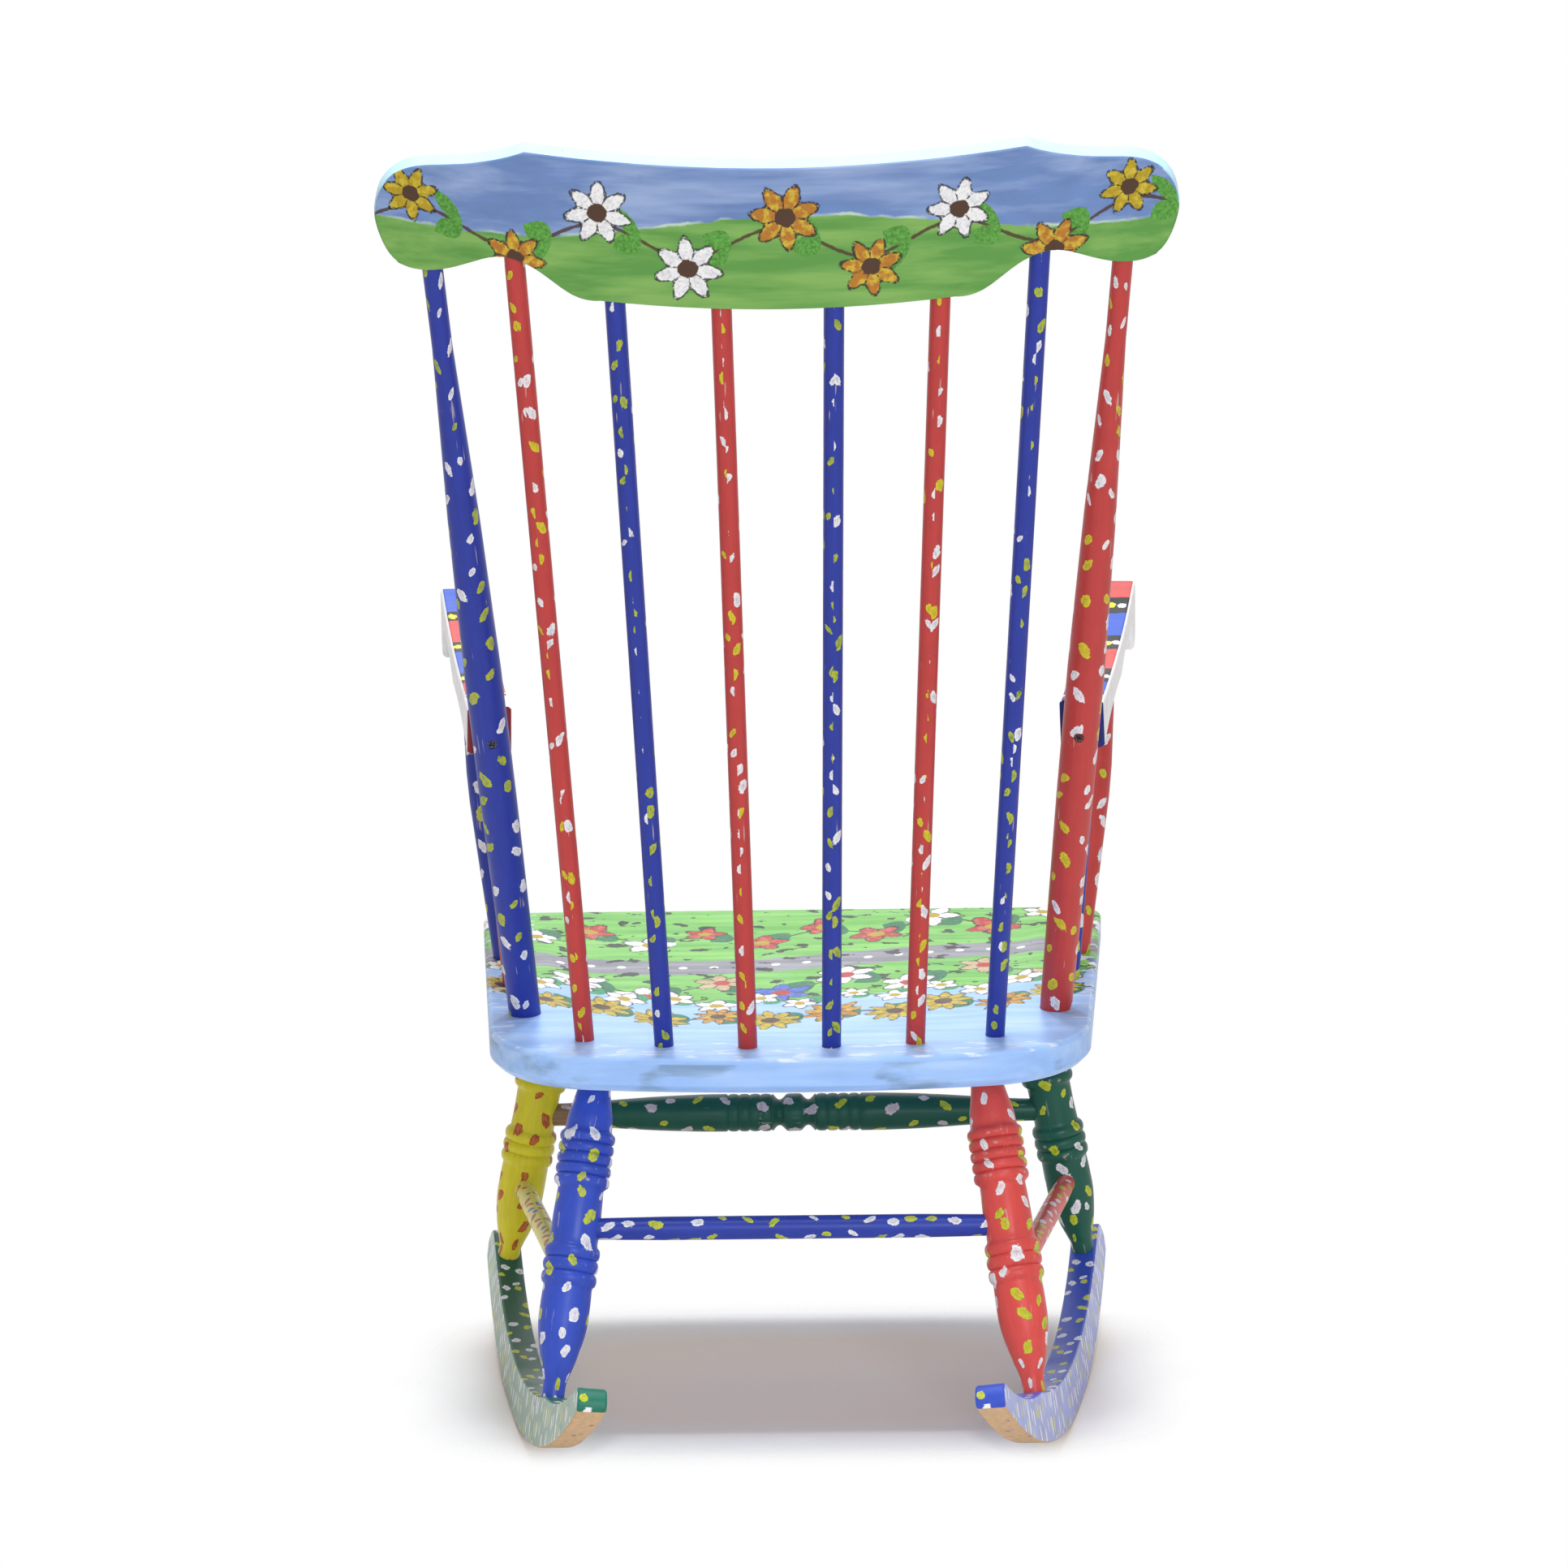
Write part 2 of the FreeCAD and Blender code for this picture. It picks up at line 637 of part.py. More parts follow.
belly, post_tip = S["post_belly_radius"], S["post_tip_radius"]
post_profile = [(0.0, S["post_foot_radius"]), (0.3, belly), (0.48, belly), (0.68, S["post_neck_radius"]),
                (0.9, post_tip), (1.0, post_tip)]


def arm_frame(side, axis_point):
    return Placement(axis_point, Rotation(Vector(0, 0, 1), -90 + side * length("arm_splay_angle")))


for side_name, side in SIDES:
    low = on_seat(side * length("post_base"), from_front("post_inset"))
    high = crest_point(side * length("post_top"), rise + ear_foot)
    way = (high - low).normalize()
    post = turn(f"{side_name}_post_turned", low, high, S["tenon_in_seat"], S["tenon_in_crest"],
                post_profile)
    seat_tools.append(socket(f"{side_name}_post_foot_socket", low, -way, S["tenon_in_seat"],
                             S["post_foot_radius"]))
    crest_tools.append(socket(f"{side_name}_post_top_socket", high, way, S["tenon_in_crest"], post_tip))

    axis_point = low + way * ((length("arm_height") - low.z) / way.z)
    lean_run = way.y / way.z
    slant = math.sqrt(1 + lean_run ** 2)
    frame = arm_frame(side, axis_point)
    rear_set = belly * slant - S["arm_cope"]
    rear_skew = S["arm_rear_rise"] * lean_run
    whole, rear_rise, front_rise = S["arm_length"], S["arm_rear_rise"], S["arm_front_rise"]
    drop, corner = S["arm_scroll_drop"], S["arm_corner"]
    name = f"{side_name}_arm"
    arm_body = new_body(f"{name}_sawn")
    arm_points = [(rear_set + rear_skew, -rear_rise), (whole * 0.55, rear_rise * 0.25),
                  (whole * 0.66, rear_rise * 0.85), (whole * 0.875, front_rise * 0.49),
                  (whole * 0.95, front_rise - drop), (whole, front_rise - drop * 0.72),
                  (whole, front_rise - corner), (whole - corner, front_rise),
                  (whole * 0.52, rear_rise * 1.65), (rear_set - rear_skew, rear_rise)]
    arm_arcs = {0: -rear_rise * 0.25, 2: -rear_rise * 0.1, 3: -drop * 0.1, 4: drop * 0.085,
                6: corner * 0.3, 7: -rear_rise * 0.15, 8: -rear_rise * 0.08}
    arm_sketch = draw_outline(arm_body, f"{name}_side_outline", "XZ_Plane", arm_points, arm_arcs)
    arm_pad = pad(arm_body, arm_sketch, S["arm_front_width"] * 1.5, f"{name}_pad", middle=True)
    rear_half, front_half = S["arm_rear_width"] * 0.5, S["arm_front_width"] * 0.5
    over = S["overrun"]
    waste = front_half * 2.0
    for flank, sign in (("outer", 1), ("inner", -1)):
        wedge = [(-over, rear_half * sign), (whole + over, front_half * sign), (whole + over, waste * sign),
                 (-over, waste * sign)]
        if sign < 0:
            wedge.reverse()
        wedge_sketch = draw_outline(arm_body, f"{name}_{flank}_waste", "XY_Plane", wedge, {})
        taper_cut = arm_body.newObject("PartDesign::Pocket", f"{name}_{flank}_taper")
        taper_cut.Profile = wedge_sketch
        taper_cut.Type = "ThroughAll"
        taper_cut.SideType = "Symmetric"
    doc.recompute()
    rear_limit = (rear_set + rear_skew).value + length("overrun") * 0.1
    narrow = length("arm_front_width") * 0.4

    def along_arm(edge):
        return (abs(edge.Vertexes[0].Y - edge.Vertexes[-1].Y) < narrow
                and max(v.X for v in edge.Vertexes) > rear_limit)

    arm_round = ease_edges(arm_body, taper_cut, S["arm_edge_bevel"], f"{name}_edge_bevel", along_arm,
                           "Chamfer")
    arm_body.Tip = arm_round
    arm_body.Placement = frame

    def under_arm(along, above, across=0.0):
        return frame.multVec(Vector(along, across, above))

    arm_tools = []
    cope = doc.addObject("Part::Cylinder", f"{name}_cope")
    cope.setExpression("Radius", (belly + S["fit_clearance"]).formula)
    cope.setExpression("Height", (rear_rise * 6.0).formula)
    cope.Placement = Placement(axis_point - way * (length("arm_rear_rise") * 3.0),
                               Rotation(Vector(0, 0, 1), way))
    arm_tools.append(cope)

    post_low = on_seat(side * length("arm_post_base"), length("arm_post_back"))
    along = (axis_point.y - post_low.y) / math.cos(math.radians(length("arm_splay_angle")))
    post_high = under_arm(along, length("arm_rear_rise") * 1.02)
    post_way = (post_high - post_low).normalize()
    end, fat = S["arm_post_end"], S["arm_post_belly"]
    arm_post_profile = [(0.0, end), (0.26, end + (fat - end) * 0.5), (0.52, fat), (0.62, fat),
                        (0.8, end + (fat - end) * 0.62), (1.0, end)]
    pieces.append(turn(f"{side_name}_arm_post", post_low, post_high, S["tenon_in_seat"],
                       S["tenon_in_arm"], arm_post_profile))
    seat_tools.append(socket(f"{side_name}_arm_post_foot_socket", post_low, -post_way,
                             S["tenon_in_seat"], end))
    arm_tools.append(socket(f"{name}_post_socket", post_high, post_way, S["tenon_in_arm"], end))

    thin_low = on_seat(side * length("arm_spindle_base"), length("arm_spindle_back"))
    along = (axis_point.y - thin_low.y) / math.cos(math.radians(length("arm_splay_angle")))
    thin_high = under_arm(along, length("arm_rear_rise") * 0.2,
                          -side * length("arm_spindle_inset"))
    thin_way = (thin_high - thin_low).normalize()
    thin = S["arm_spindle_radius"]
    pieces.append(turn(f"{side_name}_arm_spindle", thin_low, thin_high, S["tenon_in_seat"],
                       S["tenon_in_arm"], [(0.0, thin), (1.0, thin)]))
    seat_tools.append(socket(f"{side_name}_arm_spindle_foot_socket", thin_low, -thin_way,
                             S["tenon_in_seat"], thin))
    arm_tools.append(socket(f"{name}_spindle_socket", thin_high, thin_way, S["tenon_in_arm"], thin))

    forwards = frame.Rotation.multVec(Vector(1, 0, 0))
    drive = (forwards - way * forwards.dot(way)).normalize()
    heart = axis_point - way * length("screw_drop")
    head_top = heart - drive * (belly.value - length("screw_sink"))
    screw_run = belly * 2.0 - S["screw_sink"] + S["screw_bite"]
    shank, head_radius = S["screw_shank_radius"], S["screw_head_radius"]
    screw_body = new_body(f"{side_name}_screw_turned")
    screw_outline = [(ZERO, ZERO), (shank, S["screw_tip"]), (shank, screw_run - S["screw_head_height"]),
                     (head_radius, screw_run), (ZERO, screw_run)]
    screw_sketch = draw_outline(screw_body, f"{side_name}_screw_profile", "XZ_Plane", screw_outline, {})
    screw_turn = screw_body.newObject("PartDesign::Revolution", f"{side_name}_screw_turning")
    screw_turn.Profile = screw_sketch
    screw_turn.ReferenceAxis = (screw_sketch, ["V_Axis"])
    screw_turn.Angle = 360
    screw_body.Tip = screw_turn
    screw_spot = Placement(head_top + drive * screw_run.value, Rotation(Vector(0, 0, 1), -drive))
    screw_body.Placement = screw_spot
    slots = []
    for slot_name, quarter in (("slot_one", 45), ("slot_two", 135)):
        slot = doc.addObject("Part::Box", f"{side_name}_screw_{slot_name}")
        slot.setExpression("Length", (S["screw_slot_reach"] * 2.0).formula)
        slot.setExpression("Width", S["screw_slot_width"].formula)
        slot.setExpression("Height", (S["screw_slot_depth"] * 2.0).formula)
        middle = Placement(Vector(-length("screw_slot_reach"), -length("screw_slot_width") / 2,
                                  screw_run.value - length("screw_slot_depth")), Rotation())
        turned = Placement(Vector(), Rotation(Vector(0, 0, 1), quarter))
        slot.Placement = screw_spot.multiply(turned.multiply(middle))
        slots.append(slot)
    pieces.append(drill(screw_body, slots, f"{side_name}_arm_screw"))
    hole_tools = []
    for where in ("post", "arm"):
        hole = doc.addObject("Part::Cylinder", f"{side_name}_screw_hole_in_{where}")
        hole.setExpression("Radius", (shank + S["fit_clearance"]).formula)
        hole.setExpression("Height", (screw_run + S["socket_end_gap"] + S["screw_sink"]).formula)
        hole.Placement = Placement(head_top, Rotation(Vector(0, 0, 1), drive))
        hole_tools.append(hole)
    sunk = doc.addObject("Part::Cone", f"{side_name}_countersink")
    clear = S["fit_clearance"]
    sunk.setExpression("Radius1", (shank + clear).formula)
    sunk.setExpression("Radius2", (head_radius + clear).formula)
    sunk.setExpression("Height", S["screw_head_height"].formula)
    sunk.Placement = Placement(head_top + drive * (length("screw_head_height") + length("fit_clearance")),
                               Rotation(Vector(0, 0, 1), -drive))
    mouth = doc.addObject("Part::Cylinder", f"{side_name}_countersink_mouth")
    mouth.setExpression("Radius", (head_radius + clear).formula)
    mouth.setExpression("Height", S["overrun"].formula)
    mouth.Placement = Placement(head_top + drive * length("fit_clearance"),
                                Rotation(Vector(0, 0, 1), -drive))
    pieces.append(drill(post, [hole_tools[0], sunk, mouth], f"{side_name}_back_post"))
    pieces.append(drill(arm_body, arm_tools + [hole_tools[1]], name))

pieces.append(drill(seat_body, seat_tools, "seat"))
pieces.append(drill(crest_blank, crest_tools, "crest_rail"))
doc.recompute()

# Stand the chair on the floor with its bounding box centred, and write each piece

box = FreeCAD.BoundBox()
for piece in pieces:
    if piece.Shape.isNull() or not piece.Shape.isValid():
        print("not sound:", piece.Label)
    box.add(piece.Shape.optimalBoundingBox(False, False))
shift = Vector(-box.Center.x, -box.Center.y, -box.ZMin)
for piece in pieces:
    piece.Placement = Placement(shift, Rotation()).multiply(piece.Placement)
doc.recompute()
for item in doc.Objects:
    if "Invalid" in item.State or "Error" in item.State:
        print("fault in", item.Name, item.State)
os.makedirs("parts", exist_ok=True)
for piece in pieces:
    piece.Shape.exportStep(f"parts/{piece.Label}.step")
print("pieces", len(pieces))
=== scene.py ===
import math

import bmesh
import bpy
from mathutils import Matrix, Vector


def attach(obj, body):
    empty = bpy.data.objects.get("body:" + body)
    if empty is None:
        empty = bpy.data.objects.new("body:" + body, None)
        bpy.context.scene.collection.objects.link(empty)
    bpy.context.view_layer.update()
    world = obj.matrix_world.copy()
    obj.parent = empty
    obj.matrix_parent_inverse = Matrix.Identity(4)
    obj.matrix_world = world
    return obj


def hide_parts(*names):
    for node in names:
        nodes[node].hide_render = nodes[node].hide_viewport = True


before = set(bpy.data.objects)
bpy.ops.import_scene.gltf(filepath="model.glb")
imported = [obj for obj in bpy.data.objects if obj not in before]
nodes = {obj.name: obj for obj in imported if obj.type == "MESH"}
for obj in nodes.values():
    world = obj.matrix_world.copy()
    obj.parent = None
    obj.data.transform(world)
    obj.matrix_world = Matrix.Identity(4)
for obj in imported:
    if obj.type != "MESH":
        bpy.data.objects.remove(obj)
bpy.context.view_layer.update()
scene = bpy.context.scene
scene.view_settings.view_transform = "Standard"

# Camera
# The chair is seen from behind, from a little above the crest, through a long lens.

bpy.ops.object.camera_add(location=(-0.0381, 4.3928, 1.2978))
camera = bpy.context.object
camera.name = "view_from_behind"
aim = Matrix.Rotation(math.radians(180.53), 3, "Z") @ Matrix.Rotation(math.radians(80.21), 3, "X")
camera.rotation_euler = (aim @ Matrix.Rotation(math.radians(-0.74), 3, "Z")).to_euler()
camera.data.lens = 125.6
camera.data.sensor_width = 36
scene.camera = camera

# Studio floor and light
# A white floor that fades into the white background, four small soft lamps overhead, a large one behind
# the chair, a weak one before it, and an even fill. The floor keeps the shadow under the seat, and is
# given a warm painted shade tint there.

FLOOR_WHITE = (0.93, 0.925, 0.92)
FLOOR_SHADOW_TINT = (0.93, 0.8, 0.7)
SHADOW_MIDDLE_Y = -0.13
SHADOW_HALF_WIDE = 0.31
SHADOW_HALF_DEEP = 0.22
COOL_WHITE = (0.95, 1.0, 1.05)
FILL_STRENGTH = 0.43
FILL_COLOUR = (1.0, 0.88, 0.8)


def tree_of(*terms):
    """The node tree of the first socket among some terms."""
    return next(term.id_data for term in terms if isinstance(term, bpy.types.NodeSocket))


def feed(sockets, terms):
    """Give each socket its term: a link from another socket, a number or an (r, g, b)."""
    for socket, term in zip(sockets, terms):
        if isinstance(term, bpy.types.NodeSocket):
            socket.id_data.links.new(term, socket)
        else:
            socket.default_value = (*term, 1) if socket.type == "RGBA" else term


def calc(operation, *terms):
    """A math node fed by sockets or plain numbers; gives its output."""
    node = tree_of(*terms).nodes.new("ShaderNodeMath")
    node.operation = operation
    feed(node.inputs, terms)
    return node.outputs[0]


def plus(first, second):
    return calc("ADD", first, second)


def less(first, second):
    return calc("SUBTRACT", first, second)


def prod(first, second):
    return calc("MULTIPLY", first, second)


def lift(value, factor, extra):
    """A value scaled by a factor, with something added."""
    return calc("MULTIPLY_ADD", value, factor, extra)


def split(vector):
    """The X, Y and Z of a place, by name."""
    node = vector.id_data.nodes.new("ShaderNodeSeparateXYZ")
    feed(node.inputs, [vector])
    return node.outputs


def ramp(value, low, high):
    """Rise from 0 to 1 as a value goes from low to high, and hold outside them."""
    node = value.id_data.nodes.new("ShaderNodeMapRange")
    feed((node.inputs["From Min"], node.inputs["From Max"], node.inputs["Value"]), (low, high, value))
    return node.outputs["Result"]


def blend(share, under, over):
    """Mix two colours, each a socket or an (r, g, b), by a share."""
    node = share.id_data.nodes.new("ShaderNodeMix")
    node.data_type = "RGBA"
    feed((node.inputs[0], node.inputs[6], node.inputs[7]), (share, under, over))
    return node.outputs[2]


bpy.ops.mesh.primitive_circle_add(vertices=96, radius=2.6, fill_type="NGON", location=(0, 0, 0))
floor = bpy.context.object
floor.name = "studio_floor"
floor_paint = bpy.data.materials.new("studio_floor_paint")
floor_paint.use_nodes = True
tree = floor_paint.node_tree
shader = tree.nodes["Principled BSDF"]
shader.inputs["Roughness"].default_value = 0.75
shader.inputs["Specular IOR Level"].default_value = 0.1
axes = split(tree.nodes.new("ShaderNodeTexCoord").outputs["Object"])
sideways = calc("ABSOLUTE", calc("DIVIDE", axes["X"], SHADOW_HALF_WIDE))
backwards = calc("DIVIDE", less(axes["Y"], SHADOW_MIDDLE_Y), SHADOW_HALF_DEEP)
backwards = calc("ABSOLUTE", backwards)
reach = plus(calc("POWER", sideways, 4.0), calc("POWER", backwards, 4.0))
reach = calc("POWER", reach, 0.25)
fade = ramp(reach, 0.76, 1.18)
fade.node.interpolation_type = "SMOOTHSTEP"
rays = tree.nodes.new("ShaderNodeLightPath")
unseen = prod(fade, rays.outputs["Is Camera Ray"])
tree.links.new(less(1.0, unseen), shader.inputs["Alpha"])
# Painted shade: a warm tint on the floor under the seat, where its shadow falls, to colour that shadow.
painted_shadow_tint = blend(ramp(reach, 0.55, 0.85), FLOOR_SHADOW_TINT, FLOOR_WHITE)
tree.links.new(painted_shadow_tint, shader.inputs["Base Color"])
floor.data.materials.append(floor_paint)

for lamp_name, place, size, watts in (("left_far_softbox", (0.3, -0.5, 3.1), 0.3, 19),
                                      ("right_far_softbox", (-0.3, -0.5, 3.1), 0.3, 19),
                                      ("left_near_softbox", (0.3, 0.9, 3.1), 0.3, 19),
                                      ("right_near_softbox", (-0.3, 0.9, 3.1), 0.3, 19),
                                      ("camera_side_softbox", (-0.7, 3.9, 1.5), 1.6, 68),
                                      ("front_softbox", (0.3, -2.6, 2.3), 1.5, 9)):
    bpy.ops.object.light_add(type="AREA", location=place)
    lamp = bpy.context.object
    lamp.name = lamp_name
    lamp.data.size = size
    lamp.data.energy = watts
    lamp.data.color = COOL_WHITE
    lamp.rotation_euler = (Vector((0, 0, 0.35)) - lamp.location).to_track_quat("-Z", "Y").to_euler()

world = bpy.data.worlds.new("studio")
scene.world = world
world.use_nodes = True
sky = world.node_tree
rays = sky.nodes.new("ShaderNodeLightPath")
shown = calc("MAXIMUM", rays.outputs["Is Camera Ray"], rays.outputs["Is Transmission Ray"])
shown = calc("MAXIMUM", shown, rays.outputs["Is Glossy Ray"])
backdrop = sky.nodes["Background"]
strength = lift(shown, 1.0 - FILL_STRENGTH, FILL_STRENGTH)
sky.links.new(strength, backdrop.inputs["Strength"])
sky.links.new(blend(shown, FILL_COLOUR, (1, 1, 1)), backdrop.inputs["Color"])

# Seat
# A plank sawn to a shield and hollowed a little, painted pale blue with a folk pattern of flower
# garlands on green. All its edges are rounded over, and the rear edge is touched up and rubbed. A pale
# broken line along the top lip is partly rubbed paint and partly a painted highlight.

SEAT_TILT = math.radians(-3.9)
SEAT_FRONT = (0.0, -0.34895, 0.3675)
SEAT_BLUE = (0.3, 0.49, 0.86)
SEAT_PALE = (0.42, 0.6, 0.9)
MEADOW = (0.13, 0.4, 0.075)
MEADOW_LIGHT = (0.235, 0.56, 0.13)
RIBBON_GREY = (0.215, 0.215, 0.245)
PETAL_WHITE = (0.8, 0.8, 0.8)
OUTLINE_BLACK = (0.014, 0.014, 0.016)
OCHRE = (0.42, 0.3, 0.014)
ORANGE_BROWN = (0.43, 0.17, 0.02)
STEM_BROWN = (0.07, 0.034, 0.018)
LEAF_GREEN = (0.018, 0.11, 0.05)
FLOWER_BLUE = (0.05, 0.12, 0.48)
FLOWER_RED = (0.42, 0.035, 0.03)
TAN = (0.5, 0.37, 0.21)
CHALK = (0.66, 0.67, 0.72)
BRIGHT_OCHRE = (0.64, 0.5, 0.045)
BRUSH_RIDGE = 0.0003
SHORE_AT = 0.295
RIBBON_AT = 0.152
RIBBON_HALF = 0.024
PEARLS_PER_METRE = 38.0


def noise(where, scale, detail=3.0, stretch=None):
    """Noise over a place, drawn out along an axis by a stretch of (x, y, z) factors."""
    node = where.id_data.nodes.new("ShaderNodeTexNoise")
    if stretch:
        drawn = where.id_data.nodes.new("ShaderNodeVectorMath")
        drawn.operation = "MULTIPLY"
        feed(drawn.inputs, (where, stretch))
        where = drawn.outputs[0]
    feed((node.inputs["Scale"], node.inputs["Detail"], node.inputs["Vector"]), (scale, detail, where))
    return node.outputs["Fac"]


def join(*terms):
    """A place from three sockets or plain numbers."""
    node = tree_of(*terms).nodes.new("ShaderNodeCombineXYZ")
    feed(node.inputs, terms)
    return node.outputs[0]


def seen_from(shader, place, turn):
    """Object coordinates as they are in a piece's own frame, given its place and turn."""
    where = shader.id_data.nodes.new("ShaderNodeTexCoord")
    frame_of = shader.id_data.nodes.new("ShaderNodeMapping")
    frame_of.vector_type = "TEXTURE"
    feed(frame_of.inputs, (where.outputs["Object"], place, turn))
    return frame_of.outputs[0]


def away(across, along):
    """How far a point is from a middle, by its two offsets."""
    return calc("SQRT", plus(prod(across, across), prod(along, along)))


def new_group(name, takes, gives):
    """A shader node group: inputs named with their defaults, None for a place, and outputs by name."""
    group = bpy.data.node_groups.new(name, "ShaderNodeTree")
    for label, default in takes.items():
        kind = "Vector" if default is None else "Color" if isinstance(default, tuple) else "Float"
        socket = group.interface.new_socket(label, in_out="INPUT", socket_type="NodeSocket" + kind)
        if default is not None:
            socket.default_value = default
    for label in gives:
        kind = "Color" if label == "Colour" else "Float"
        group.interface.new_socket(label, in_out="OUTPUT", socket_type="NodeSocket" + kind)
    return group, group.nodes.new("NodeGroupInput").outputs, group.nodes.new("NodeGroupOutput").inputs


def use_group(group, **values):
    """Place a group in a material; underscores in the names stand for spaces."""
    node = tree_of(*values.values()).nodes.new("ShaderNodeGroup")
    node.node_tree = group
    feed([node.inputs[label.replace("_", " ")] for label in values], values.values())
    return node.outputs


# A coat of artist's acrylic brushed along the local Z axis: streaks, thin places and faint ridges.
coat, given, gives = new_group(
    "brushed_coat",
    {"Place": None, "Colour": (0.5, 0.5, 0.5, 1), "Unevenness": 0.35, "Fineness": 260.0},
    ("Colour", "Roughness", "Height"))
drawn = coat.nodes.new("ShaderNodeVectorMath")
drawn.operation = "MULTIPLY"
drawn.inputs[1].default_value = (1, 1, 0.09)
coat.links.new(given["Place"], drawn.inputs[0])
strokes = coat.nodes.new("ShaderNodeTexNoise")
strokes.inputs["Detail"].default_value = 5
strokes.inputs["Roughness"].default_value = 0.62
coat.links.new(drawn.outputs[0], strokes.inputs["Vector"])
coat.links.new(given["Fineness"], strokes.inputs["Scale"])
patches = noise(given["Place"], 34, 4)
tone = plus(prod(less(strokes.outputs["Fac"], 0.5), 1.3), prod(less(patches, 0.5), 1.1))
shade = coat.nodes.new("ShaderNodeVectorMath")
shade.operation = "SCALE"
coat.links.new(given["Colour"], shade.inputs[0])
coat.links.new(lift(tone, given["Unevenness"], 1.0), shade.inputs["Scale"])
coat.links.new(shade.outputs[0], gives["Colour"])
coat.links.new(lift(patches, 0.34, 0.2), gives["Roughness"])
coat.links.new(strokes.outputs["Fac"], gives["Height"])

# A garland: flowers in cells along a waving stem, above and below it by turns, with leaves between.
vine, given, gives = new_group(
    "flower_garland",
    {"Along": 0.0, "Off": 0.0, "Place": None, "Pitch": 0.06, "Radius": 0.017, "Petals": 5.0,
     "Swing": 0.008, "Rise": 0.012, "Seed": 0.0},
    ("Flower", "Heart", "Line", "Leaf", "Stem", "Chance", "Shade"))
ragged = noise(given["Place"], 210, 3)
blotch = noise(given["Place"], 480, 3)
count = calc("DIVIDE", given["Along"], given["Pitch"])
cell = calc("FLOOR", count)
chance = vine.nodes.new("ShaderNodeTexWhiteNoise")
chance.noise_dimensions = "2D"
vine.links.new(join(cell, given["Seed"], 0.0), chance.inputs["Vector"])
turns = vine.nodes.new("ShaderNodeSeparateColor")
vine.links.new(chance.outputs["Color"], turns.inputs[0])
wave = calc("SINE", prod(count, math.pi))
across_line = less(given["Off"], prod(wave, given["Swing"]))
sign = lift(calc("FLOORED_MODULO", cell, 2.0), -2.0, 1.0)
jitter = prod(less(turns.outputs[0], 0.5), 0.22)
du = plus(less(calc("FRACT", count), 0.5), jitter)
du = prod(du, given["Pitch"])
dv = less(given["Off"], prod(sign, plus(given["Swing"], given["Rise"])))
reach = plus(away(du, dv), prod(less(ragged, 0.5), 0.005))
angle = lift(turns.outputs[1], 6.28, calc("ARCTAN2", dv, du))
lobes = calc("COSINE", prod(angle, given["Petals"]))
size = prod(given["Radius"], lift(turns.outputs[2], 0.3, 0.8))
edge = prod(size, lift(lobes, 0.19, 0.81))
flower = ramp(less(edge, reach), -0.0003, 0.0005)
heart = ramp(less(prod(size, 0.3), reach), -0.0003, 0.0004)
groove = calc("LESS_THAN", lobes, lift(reach, 14.0, -1.05))
rim = ramp(calc("ABSOLUTE", less(edge, reach)), 0.0018, 0.001)
line = prod(calc("MAXIMUM", prod(groove, flower), rim), less(1.0, heart))
line = prod(line, ramp(blotch, 0.36, 0.5))
feed([gives[label] for label in ("Flower", "Heart", "Line", "Chance", "Shade")],
     (flower, heart, line, chance.outputs["Value"], blotch))
stem_half = lift(ragged, 0.0022, 0.0004)
stem = less(stem_half, calc("ABSOLUTE", across_line))
vine.links.new(ramp(stem, -0.0003, 0.0003), gives["Stem"])
leaf_cell = less(calc("FRACT", plus(count, 0.5)), 0.5)
leaf_u = prod(leaf_cell, given["Pitch"])
leaves = []
for far in (0.62, -0.62):
    run = plus(prod(leaf_u, 0.78), prod(across_line, far))
    wide = less(prod(across_line, 0.78), prod(leaf_u, far))
    share = calc("DIVIDE", run, prod(given["Radius"], 1.15))
    lens = prod(share, less(1.0, share))
    half = prod(prod(lens, 1.2), given["Radius"])
    leaves.append(ramp(less(half, calc("ABSOLUTE", wide)), 0.0, 0.0005))
vine.links.new(calc("MAXIMUM", *leaves), gives["Leaf"])


def start_paint(name):
    """A new painted finish and its shader."""
    paint = bpy.data.materials.new(name)
    paint.use_nodes = True
    shader = paint.node_tree.nodes["Principled BSDF"]
    shader.inputs["Specular IOR Level"].default_value = 0.24
    return paint, shader


def painted_at(name, place, turn, grain="ZYX"):
    """A finish in a piece's own frame: itself, shader, place, axes, and the place along the grain."""
    paint, shader = start_paint(name)
    here = seen_from(shader, place, turn)
    where = split(here)
    return paint, shader, here, where, join(*(where[axis] for axis in grain))


def finish_paint(shader, colour, roughness, height, ridge=BRUSH_RIDGE):
    """Feed the shader: colour, gloss and the paint's relief, ridge being its height in metres."""
    bump = shader.id_data.nodes.new("ShaderNodeBump")
    bump.inputs["Distance"].default_value = ridge
    bump.inputs["Strength"].default_value = 0.8
    feed((bump.inputs["Height"], shader.inputs["Normal"], shader.inputs["Base Color"],
          shader.inputs["Roughness"]), (height, bump.outputs["Normal"], colour, roughness))


def pick_colour(chance_of, first, second, third):
    """One of three colours by chance, so that neighbours differ."""
    colour = blend(calc("GREATER_THAN", chance_of, 0.36), first, second)
    return blend(calc("GREATER_THAN", chance_of, 0.7), colour, third)


